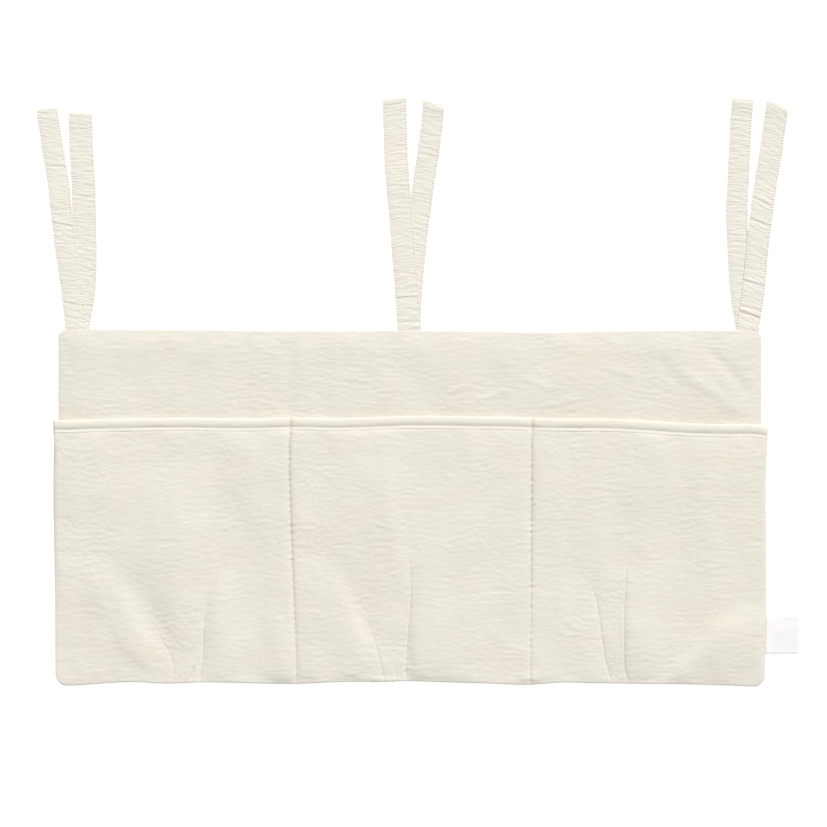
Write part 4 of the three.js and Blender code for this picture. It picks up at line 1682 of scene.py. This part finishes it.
    def make_lining(self) -> bpy.types.Object:
        """Makes the pockets' inner cloth, which shows only inside their mouths.

        Returns:
            The cloth, between the pocket wadding and the back panel.
        """
        sizes = self.filling
        x, y, top = self._under_face(sizes.lining_near, sizes.lining_rows, sizes.lining_columns)
        inside = self.pattern.pocket_inside(x, y)
        divider = self.pattern.to_divider(x, y)
        pad = sizes.pad + sizes.pad_rise * pillow(inside, sizes.pad_reach) * pillow(
            divider, sizes.pad_reach)
        floor = self.layers.loft(inside) + self.layers.cloth + self.layers.gap
        floor = floor - self._seam_dip(divider)
        z = np.maximum(top - self.layers.cloth - pad, floor + self.layers.cloth)
        piece = make_layer(
            "pocket_lining_cloth", x, y, z, z - sizes.lining_cloth, self.panel.under_rows)
        self.dresser.dress(piece, Slot.MUSLIN, "pocket_lining")
        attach(piece, Body.CADDY.value)
        return piece

    def make_waddings(self) -> list[bpy.types.Object]:
        """Makes the two layers of wadding.

        Returns:
            The layer inside the pocket cloth and the layer inside the back panel.
        """
        sizes, every = self.filling, self.panel.under_rows
        x, y, top = self._under_face(sizes.wadding_near, sizes.wadding_rows, sizes.wadding_columns)
        top = top - sizes.wadding_drop
        pocket = make_layer("pocket_wadding_layer", x, y, top, top - sizes.wadding_thick, every)
        x, y = self._panel_plan(np.linspace(*sizes.panel_rows), sizes.panel_columns)
        kept = slice(sizes.panel_inset, -sizes.panel_inset)
        x, y = x[:, kept], y[:, kept]
        loft = self.layers.loft(self.pattern.panel_inside(x, y))
        top = np.maximum(loft - sizes.panel_drop, sizes.panel_top)
        low = np.full_like(top, sizes.panel_low)
        panel = make_layer("panel_wadding_layer", x, y, top, low, every)
        for piece, node in ((pocket, "pocket_wadding"), (panel, "panel_wadding")):
            self.dresser.dress(piece, Slot.WADDING, node)
            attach(piece, Body.CADDY.value)
        return [pocket, panel]

    def make_binding(self) -> bpy.types.Object:
        """Makes the strip folded over the pockets' mouth, pulled in along its stitching.

        Returns:
            The strip, with its front, its fold and its back in one closed sheet.
        """
        sizes = self.binding
        near = np.linspace(0, sizes.end_run, sizes.end_points)
        x = np.concatenate([near[:-1] + sizes.ends[0], np.linspace(*sizes.middle, sizes.points),
                            sizes.ends[1] - near[::-1][1:]])
        left, right = self.pattern.pocket_sides(self.pattern.mouth(x) - sizes.side_drop)
        x = left + (x - x[0]) / (x[-1] - x[0]) * (right - left)
        mouth = self.pattern.mouth(x)
        level = self._binding_base(x)
        gather = sum((ripple.along(x) for ripple in sizes.gather), 1.0)
        ends = np.minimum((x - x[0]), (x[-1] - x)) / sizes.end_run
        end = sizes.end_share + (1.0 - sizes.end_share) * pillow(np.clip(ends, 0, 1), 1.0)
        wave = sizes.wave.along(x)
        pinch = self._pinch(x, mouth)
        pull = sizes.pull_beat * np.cos(2 * math.pi * x / sizes.pull_pitch)
        pull = pull - sizes.pull * (1.0 + sizes.pull_change.along(x))
        rows_y, rows_z = [], []
        for drop, lift in sizes.front:
            seam = bell(np.array(drop - sizes.pull_drop), sizes.pull_width)
            rows_y.append(mouth - drop + (wave if drop > sizes.wave_from else 0.0))
            body = lift * gather * end + sizes.crinkle.at(x, drop) + seam * pull
            rows_z.append(level + body + sizes.lift - pinch)
        fold = rows_z[-1]
        back = np.maximum(level - sizes.back_depth - pinch, sizes.back_lowest)
        for drop, share in sizes.back:
            rows_y.append(mouth - drop)
            rows_z.append(fold * (1 - share) + back * share)
        y, z = np.stack(rows_y), np.stack(rows_z)
        outer = np.stack([np.tile(x, (len(y), 1)), y, z], axis=-1)
        step_y, step_z = np.gradient(y, axis=0), np.gradient(z, axis=0)
        size = np.maximum(np.hypot(step_y, step_z), 1e-6)
        normals = np.stack([np.zeros_like(y), step_z / size, -step_y / size], axis=-1)
        piece = make_shell("pocket_binding_strip", outer, outer + normals * sizes.cloth)
        self.dresser.dress(piece, Slot.BINDING, "pocket_binding")
        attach(piece, Body.CADDY.value)
        return piece

    def _binding_base(self, x: Points) -> Points:
        """Gives the height of the pocket cloth under the binding."""
        low = self.pattern.mouth(x) - self.pattern.binding_lap
        return np.maximum(self.layers.face_top(x, low), self.binding.base_lowest)

    def _pinch(self, x: Points, y: Points) -> Points:
        """Gives how far the dividing seams pull the binding down.

        Args:
            x: Places along the binding.
            y: Their places up the cloth.

        Returns:
            The depth, sharp at the seam and soft around it.
        """
        sizes, away = self.binding, self.pattern.to_divider(x, y)
        return (sizes.pinch * np.exp(-away / sizes.pinch_width)
                + sizes.hollow * bell(away, sizes.hollow_width))

    def make_seams(self) -> list[bpy.types.Object]:
        """Makes the stitching of the binding, the dividing seams and the closed bottom seam.

        Returns:
            The four rows of stitches.
        """
        sizes = self.seams
        x = np.linspace(*sizes.binding)
        y = self.pattern.mouth(x) - self.binding.stitch_drop
        z = self._binding_base(x) - sizes.binding_sink - self._pinch(x, y)
        path = np.column_stack([x, y, z])
        made = [(sizes.fine.make("binding_stitching", path), "binding_stitch")]
        for side, name in enumerate(("left", "right")):
            y = np.linspace(*sizes.divider)
            x = self.pattern.dividers(y)[side]
            path = np.column_stack([x, y, self._face_height(x, y) - sizes.divider_sink])
            row = sizes.fine.make(f"divider_stitching_{name}", path)
            made.append((row, f"divider_stitch_{name}"))
        x = np.linspace(*sizes.closing)
        y = self.pattern.hem(x) - sizes.closing_drop
        path = np.column_stack([x, y, np.full_like(x, sizes.closing_level)])
        made.append((sizes.hand.make("closing_stitching", path), "closing_stitch"))
        for piece, node in made:
            self.dresser.dress(piece, Slot.THREAD, node)
            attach(piece, Body.CADDY.value)
        return [piece for piece, _ in made]

    def build(self) -> None:
        """Builds every piece of the caddy's own body."""
        self.make_pocket_face()
        self.make_panel_face()
        self.make_back_cover()
        self.make_lining()
        self.make_waddings()
        self.make_binding()
        self.make_seams()


@dataclass(frozen=True)
class Tie:
    """One sewn tie: a folded strip of muslin, stitched along its edge, laid out flat."""

    body: Body
    front: bool
    root: float
    reach: float
    width: float
    crossing: float
    sway: tuple[float, ...]
    seed: int
    tip_slant: float = 0.0
    ridge_slant: float = 0.0
    ridge_arch: float = 0.6
    tip_lift: float = 0.0
    kinks: tuple[tuple[float, float, float], ...] = ()
    thickness: float = 1.0
    inset: float = 1.3
    pucker: float = 2.35
    tuck: float = 1.6
    tip_round: float = 2.6
    seam_gap: float = 0.3
    clearance: float = 0.1
    root_levels: Pair = (2.05, 1.7)
    landing: float = 0.16
    settling: Pair = (-1.0, 11.0)
    curl_runs: Pair = (15.0, 3.5)
    curl_back: float = 0.5
    points: int = 560
    top_steps: tuple[float, ...] = (1.0, 0.992, 0.97, 0.93, 0.86, 0.76, 0.62, 0.46, 0.3, 0.15)
    low_steps: tuple[float, ...] = (-0.97, -0.6, 0.0, 0.6, 0.97)
    sway_side: float = 0.3
    edge_wobble: float = 0.22
    notches: Pair = (0.3, 0.2)
    notch_lag: float = 1.9
    wander: float = 1.2
    ridge: float = 0.2
    broad_ridge: float = 0.26
    edge_pull: tuple[Pair, Pair] = ((0.12, 0.6), (0.1, 0.45))
    pull_width: float = 0.75
    kink_width: float = 1.1
    kink_swell: float = 0.7
    kink_away: float = 2.4
    kink_swell_width: float = 1.6
    tip_press: float = 0.35
    tip_press_run: float = 1.6
    seam_press: float = 0.3
    emerging: Pair = (-0.6, 2.4)
    slant_run: float = 14.0
    tuck_points: int = 4
    bare_points: int = 12
    thread_sink: float = 0.22
    thread: StitchLine = StitchLine(pitch=2.35, filled=0.6, radius=0.18, dip=0.3)

    def _centre(self, share: Points, pattern: Pattern) -> Points:
        """Gives the tie's centre line.

        Args:
            share: Places as shares of the tie's reach, below zero inside the seam.
            pattern: Says where the top seam runs.

        Returns:
            The points of the line, which falls from the seam to the floor or the other tie.
        """
        out = np.maximum(share, 0.0)
        x = self.root + self.reach * even_shares(self.sway, out)
        y = pattern.top(np.array(self.root)) + self.seam_gap + self.reach * share
        under = self.thickness + self.clearance if self.front else 0.0
        landed = smooth(out, self.crossing, self.crossing + self.landing)
        level = self.thickness / 2 + under * (1.0 - landed)
        start = self.root_levels[0 if self.front else 1]
        run = share * self.reach
        settled = smooth(run, *self.settling)
        long_run, short_run = self.curl_runs
        curl = smooth(run, self.reach - long_run, self.reach - short_run)
        curl = curl - self.curl_back * smooth(run, self.reach - short_run, self.reach)
        z = start + (level + self.clearance - start) * settled + self.tip_lift * curl
        return np.column_stack([x, y, z])

    def _section(self, place: float, out: float) -> tuple[Points, Points]:
        """Gives one cross-section, with puckered edges, cross ridges and kinks.

        The numbers added to a place in the noise only pick another part of it.

        Args:
            place: How far from the seam it lies.
            out: How far it has come out of the seam, from 0 to 1.

        Returns:
            Distances to the left of the centre line, and heights over it.
        """
        noise = Noise(self.seed)
        to_tip = self.reach - place
        cut = self.tip_round - math.sqrt(self.tip_round**2 - max(self.tip_round - to_tip, 0.0) ** 2)
        half = self.width / 2 - cut
        steps, low = np.array(self.top_steps), np.array(self.low_steps)
        top = np.concatenate([steps, [0.0], -steps[::-1]])
        sway = self.sway_side * noise.at(np.array(3.3), np.array(place / 6.0))
        edge = half + self.edge_wobble * noise.at(np.array(8.1), np.array(place / 2.0))
        beats = [math.cos(2 * math.pi * place / self.pucker + turn) for turn in (0.0, self.notch_lag)]
        notch_right, notch_left = (((1.0 + beat) / 2.0) ** 3 for beat in beats)
        cut_right, cut_left = self.notches
        across = np.where(top > 0, top * (edge - cut_left * notch_left),
                          top * (edge - cut_right * notch_right))
        arch = self.ridge_arch * (across / half) ** 2
        bent = place - self.ridge_slant * across + arch
        bent = bent + self.wander * noise.at(across / 9.0, 0.13 * place)
        ridges = noise.at(across / 7.0, bent / 1.25)
        broad = noise.at(across / 13.0 + 9.0, bent / 2.6)
        crown = (1.0 - top**8) ** 0.5
        sides = ((across + half - self.inset, notch_right), (across - half + self.inset, notch_left))
        pulled = sum(bell(away, self.pull_width) * (steady + more * notch)
                     for (away, notch), (steady, more) in zip(sides, self.edge_pull))
        lift = self.thickness / 2 + self.ridge * ridges + self.broad_ridge * broad
        for spot, depth, slant in self.kinks:
            away = place - spot - slant * across
            lift = lift - depth * bell(away, self.kink_width)
            lift = lift + self.kink_swell * depth * bell(away - self.kink_away, self.kink_swell_width)
        pressed = self.tip_press + (1.0 - self.tip_press) * float(
            pillow(np.array(to_tip), self.tip_press_run))
        lift = (lift - pulled) * crown * pressed
        under = -np.full(len(low), self.thickness / 2)
        thin = self.seam_press + (1.0 - self.seam_press) * out
        return np.concatenate([across, low * half]) + sway, np.concatenate([lift, under]) * thin

    def make(self, dresser: Dresser, pattern: Pattern) -> None:
        """Builds the tie and its stitching.

        Args:
            dresser: Gives the pieces their finish.
            pattern: Says where the top seam runs.
        """
        name = self.body.value
        run = np.concatenate([np.linspace(-self.tuck, 0.0, self.tuck_points)[:-1],
                              np.linspace(0, self.reach, self.points)])
        centre = self._centre(run / self.reach, pattern)
        ahead = np.gradient(centre[:, :2], axis=0)
        ahead /= np.linalg.norm(ahead, axis=1, keepdims=True)
        out = smooth(run, *self.emerging)
        slant = self.tip_slant * smooth(run, self.reach - self.slant_run, self.reach)
        rings = []
        for station, place in enumerate(run):
            offsets, heights = self._section(place, out[station])
            along_x, along_y = ahead[station]
            shift = slant[station] * offsets
            rings.append(np.column_stack([
                centre[station, 0] - offsets * along_y + shift * along_x,
                centre[station, 1] + offsets * along_x + shift * along_y,
                centre[station, 2] + heights])[::-1])
        solid = np.stack(rings)
        solid[..., 2] = np.maximum(solid[..., 2], 0.0)
        piece = make_tube(name + "_strip", solid)
        dresser.dress(piece, Slot.TIE, name)
        aside = self.width / 2 - self.inset
        kept = slice(self.bare_points, len(run) - self.bare_points)
        path = np.column_stack([
            centre[kept, 0] + aside * ahead[kept, 1],
            centre[kept, 1] - aside * ahead[kept, 0],
            centre[kept, 2] + self.thickness / 2 - self.thread_sink])
        stitching = self.thread.make(name + "_stitching", path)
        dresser.dress(stitching, Slot.THREAD, name + "_stitch")
        for part in (piece, stitching):
            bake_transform(part)


TIES = (
    Tie(Body.TIE_LEFT_FRONT, True, -280.6, 185.6, 17.9, 0.58,
        (0, -0.018, -0.043, -0.063, -0.082, -0.109, -0.134), 101, 0.04, 0.28, 0.5, 0.0,
        ((9.0, 0.3, 0.2), (21.0, 0.35, 0.3), (88.0, 0.3, 0.35), (137.0, 0.3, 0.3))),
    Tie(Body.TIE_LEFT_REAR, False, -279.8, 182.0, 19.8, 0.0,
        (0, 0.028, 0.035, 0.033, 0.029, 0.019, 0.014), 102, 0.06, 0.08, 0.7, 0.3,
        ((178.0, 0.2, 0.1), (112.0, 0.2, 0.1))),
    Tie(Body.TIE_MIDDLE_FRONT, True, -0.4, 195.0, 19.8, 0.64,
        (0, -0.011, -0.024, -0.037, -0.052, -0.06, -0.064), 103, -0.06, -0.03, 1.6, 0.2,
        ((7.0, 0.35, 0.0), (27.0, 0.35, 0.0), (190.0, 0.25, -0.12))),
    Tie(Body.TIE_MIDDLE_REAR, False, 0.0, 191.5, 18.3, 0.0,
        (0, 0.006, 0.021, 0.041, 0.064, 0.089, 0.107), 104, 0.22, 0.12, 0.9, 0.8,
        ((164.0, 0.25, 0.1),)),
    Tie(Body.TIE_RIGHT_REAR, False, 283.2, 194.6, 18.0, 0.0,
        (0, -0.024, -0.035, -0.041, -0.035, -0.027, -0.016), 105, 0.06, 0.04, 0.8, 0.7,
        ((18.0, 0.3, -0.3),)),
    Tie(Body.TIE_RIGHT_FRONT, True, 284.0, 190.0, 19.0, 0.52,
        (0, 0.026, 0.041, 0.061, 0.084, 0.111, 0.133), 106, 0.26, 0.3, 1.0, 0.8,
        ((12.5, 0.7, 0.15), (18.0, 0.3, 0.1), (39.0, 0.4, 0.2), (90.0, 0.35, 0.25),
         (107.0, 0.35, 0.35))),
)


@dataclass(frozen=True)
class SideLabel:
    """The bare satin tab at the right edge: one strip folded at its outer end."""

    low: float = -123.0
    height: float = 31.0
    start: float = 298.0
    end: float = 326.8
    middle: float = 3.25
    cloth: float = 0.22
    slit: float = 0.5
    rows: int = 41
    points: int = 30
    turns: int = 9
    curl: float = 0.28
    lean: float = 0.18
    waves: tuple[Ripple, ...] = (
        Ripple(61, 0.2, 13.0, 11.0), Ripple(62, 0.15, 9.0, 20.0), Ripple(63, 0.25, 12.0, row=0.4))
    gripped: float = 3.0
    grip_run: float = 28.0
    grip_drop: float = 0.25
    grip_half: float = 0.16

    def make(self, dresser: Dresser) -> None:
        """Builds the tab, pressed thin where the side seam grips it.

        Args:
            dresser: Gives the tab its finish.
        """
        rows = np.linspace(0.0, 1.0, self.rows)
        turn = np.linspace(-math.pi / 2, math.pi / 2, self.turns)
        half = self.slit / 2 + self.cloth
        run = np.linspace(self.start, self.end - half, self.points)
        x = np.concatenate([run, self.end - half + half * np.cos(turn[1:-1]), run[::-1]])
        side = np.concatenate([-np.ones(self.points), np.sin(turn[1:-1]), np.ones(self.points)])
        x = np.tile(x, (len(rows), 1))
        y = self.low + self.height * rows[:, None] + 0.0 * x
        out = (x - self.start) / (self.end - self.start)
        lifted, bowed, wavy = self.waves
        curl = self.curl * np.sin(math.pi * rows[:, None]) * out + lifted.at(x, y)
        y = y + self.lean * (out - 0.5) + bowed.at(x, y)
        x = x + wavy.along(y) * out
        grip = smooth(out * self.grip_run, 0.0, self.gripped)
        z = self.middle - self.grip_drop * (1 - grip) + curl * grip
        z = z + side * (self.grip_half + (half - self.grip_half) * grip)
        outer = np.stack([x, y, z], axis=-1)
        inner = outer.copy()
        inner[..., 2] -= side * self.cloth * (0.5 + 0.5 * grip)
        inner[..., 0] -= np.sqrt(np.maximum(1 - side**2, 0.0)) * self.cloth
        piece = make_shell("side_label_tab", outer[::-1], inner[::-1])
        dresser.dress(piece, Slot.SATIN, "side_label")
        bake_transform(piece)


@dataclass(frozen=True)
class Studio:
    """The floor, the light and the camera."""

    frame_width: float = 0.6959
    centre: Pair = (0.00302, 0.0787)
    camera_height: float = 4.0
    sensor: float = 36.0
    far: float = 50.0
    world_level: float = 0.4
    key_strength: float = 2.6
    key_spread: float = 50.0
    key_direction: Colour = (-0.22, -0.64, -0.736)
    floor_half: float = 3.0
    floor_drop: float = 0.0003
    floor_tone: float = 0.92
    glow: float = 1.12
    glow_share: float = 0.85

    def make_camera(self) -> None:
        """Makes the camera, which looks straight down on the caddy."""
        lens = bpy.data.cameras.new("camera")
        lens.sensor_width = self.sensor
        lens.lens = self.sensor * self.camera_height / self.frame_width
        lens.clip_end = self.far
        camera = bpy.data.objects.new("camera", lens)
        camera.location = (*self.centre, self.camera_height)
        bpy.context.scene.collection.objects.link(camera)
        bpy.context.scene.camera = camera

    @staticmethod
    def _seen(tree: bpy.types.NodeTree) -> Socket:
        """Adds the nodes that tell which rays show the background.

        Args:
            tree: The node tree that they are added to.

        Returns:
            1 for rays from the camera, in gloss and through glass, and 0 for the others.
        """
        path = tree.nodes.new("ShaderNodeLightPath")
        total = path.outputs["Is Camera Ray"]
        for name in ("Is Glossy Ray", "Is Transmission Ray"):
            node = tree.nodes.new("ShaderNodeMath")
            node.operation = "MAXIMUM"
            tree.links.new(total, node.inputs[0])
            tree.links.new(path.outputs[name], node.inputs[1])
            total = node.outputs[0]
        return total

    def make_floor(self) -> None:
        """Makes the pale floor, which stays white around the caddy and keeps its shadow."""
        half = self.floor_half
        corners = ((-half, -half), (half, -half), (half, half), (-half, half))
        mesh = bpy.data.meshes.new("floor")
        mesh.from_pydata([(x, y, -self.floor_drop) for x, y in corners], [], [[0, 1, 2, 3]])
        floor = bpy.data.objects.new("floor", mesh)
        bpy.context.scene.collection.objects.link(floor)
        material = bpy.data.materials.new("floor_white")
        material.use_nodes = True
        tree = material.node_tree
        tree.nodes.clear()
        diffuse = tree.nodes.new("ShaderNodeBsdfDiffuse")
        diffuse.inputs["Color"].default_value = (*[self.floor_tone] * 3, 1.0)
        glow = tree.nodes.new("ShaderNodeEmission")
        glow.inputs["Strength"].default_value = self.glow
        mix = tree.nodes.new("ShaderNodeMixShader")
        share = tree.nodes.new("ShaderNodeMath")
        share.operation = "MULTIPLY"
        share.inputs[1].default_value = self.glow_share
        tree.links.new(self._seen(tree), share.inputs[0])
        tree.links.new(share.outputs[0], mix.inputs["Fac"])
        tree.links.new(diffuse.outputs["BSDF"], mix.inputs[1])
        tree.links.new(glow.outputs["Emission"], mix.inputs[2])
        output = tree.nodes.new("ShaderNodeOutputMaterial")
        tree.links.new(mix.outputs["Shader"], output.inputs["Surface"])
        mesh.materials.append(material)

    def make_lights(self) -> None:
        """Makes the soft studio light: an even surround, and a key from behind the caddy's top edge."""
        world = bpy.data.worlds.new("studio")
        world.use_nodes = True
        tree = world.node_tree
        background = tree.nodes["Background"]
        background.inputs["Color"].default_value = (1.0, 1.0, 1.0, 1.0)
        level = tree.nodes.new("ShaderNodeMapRange")
        level.inputs["To Min"].default_value = self.world_level
        level.inputs["To Max"].default_value = 1.0
        tree.links.new(self._seen(tree), level.inputs["Value"])
        tree.links.new(level.outputs["Result"], background.inputs["Strength"])
        bpy.context.scene.world = world
        data = bpy.data.lights.new("key", "SUN")
        data.energy = self.key_strength
        data.angle = math.radians(self.key_spread)
        key = bpy.data.objects.new("key", data)
        key.rotation_mode = "QUATERNION"
        key.rotation_quaternion = Vector(self.key_direction).to_track_quat("-Z", "Y")
        bpy.context.scene.collection.objects.link(key)

    def build(self) -> None:
        """Sets up the studio."""
        self.make_camera()
        self.make_floor()
        self.make_lights()
        bpy.context.scene.view_settings.view_transform = "Standard"


def main() -> None:
    """Builds the studio and the caddy."""
    logging.basicConfig(level=logging.INFO, format="%(message)s")
    Studio().build()
    dresser = Dresser()
    caddy = CaddyBody(dresser)
    caddy.build()
    for tie in TIES:
        tie.make(dresser, caddy.pattern)
    SideLabel().make(dresser)


if __name__ == "__main__":
    main()
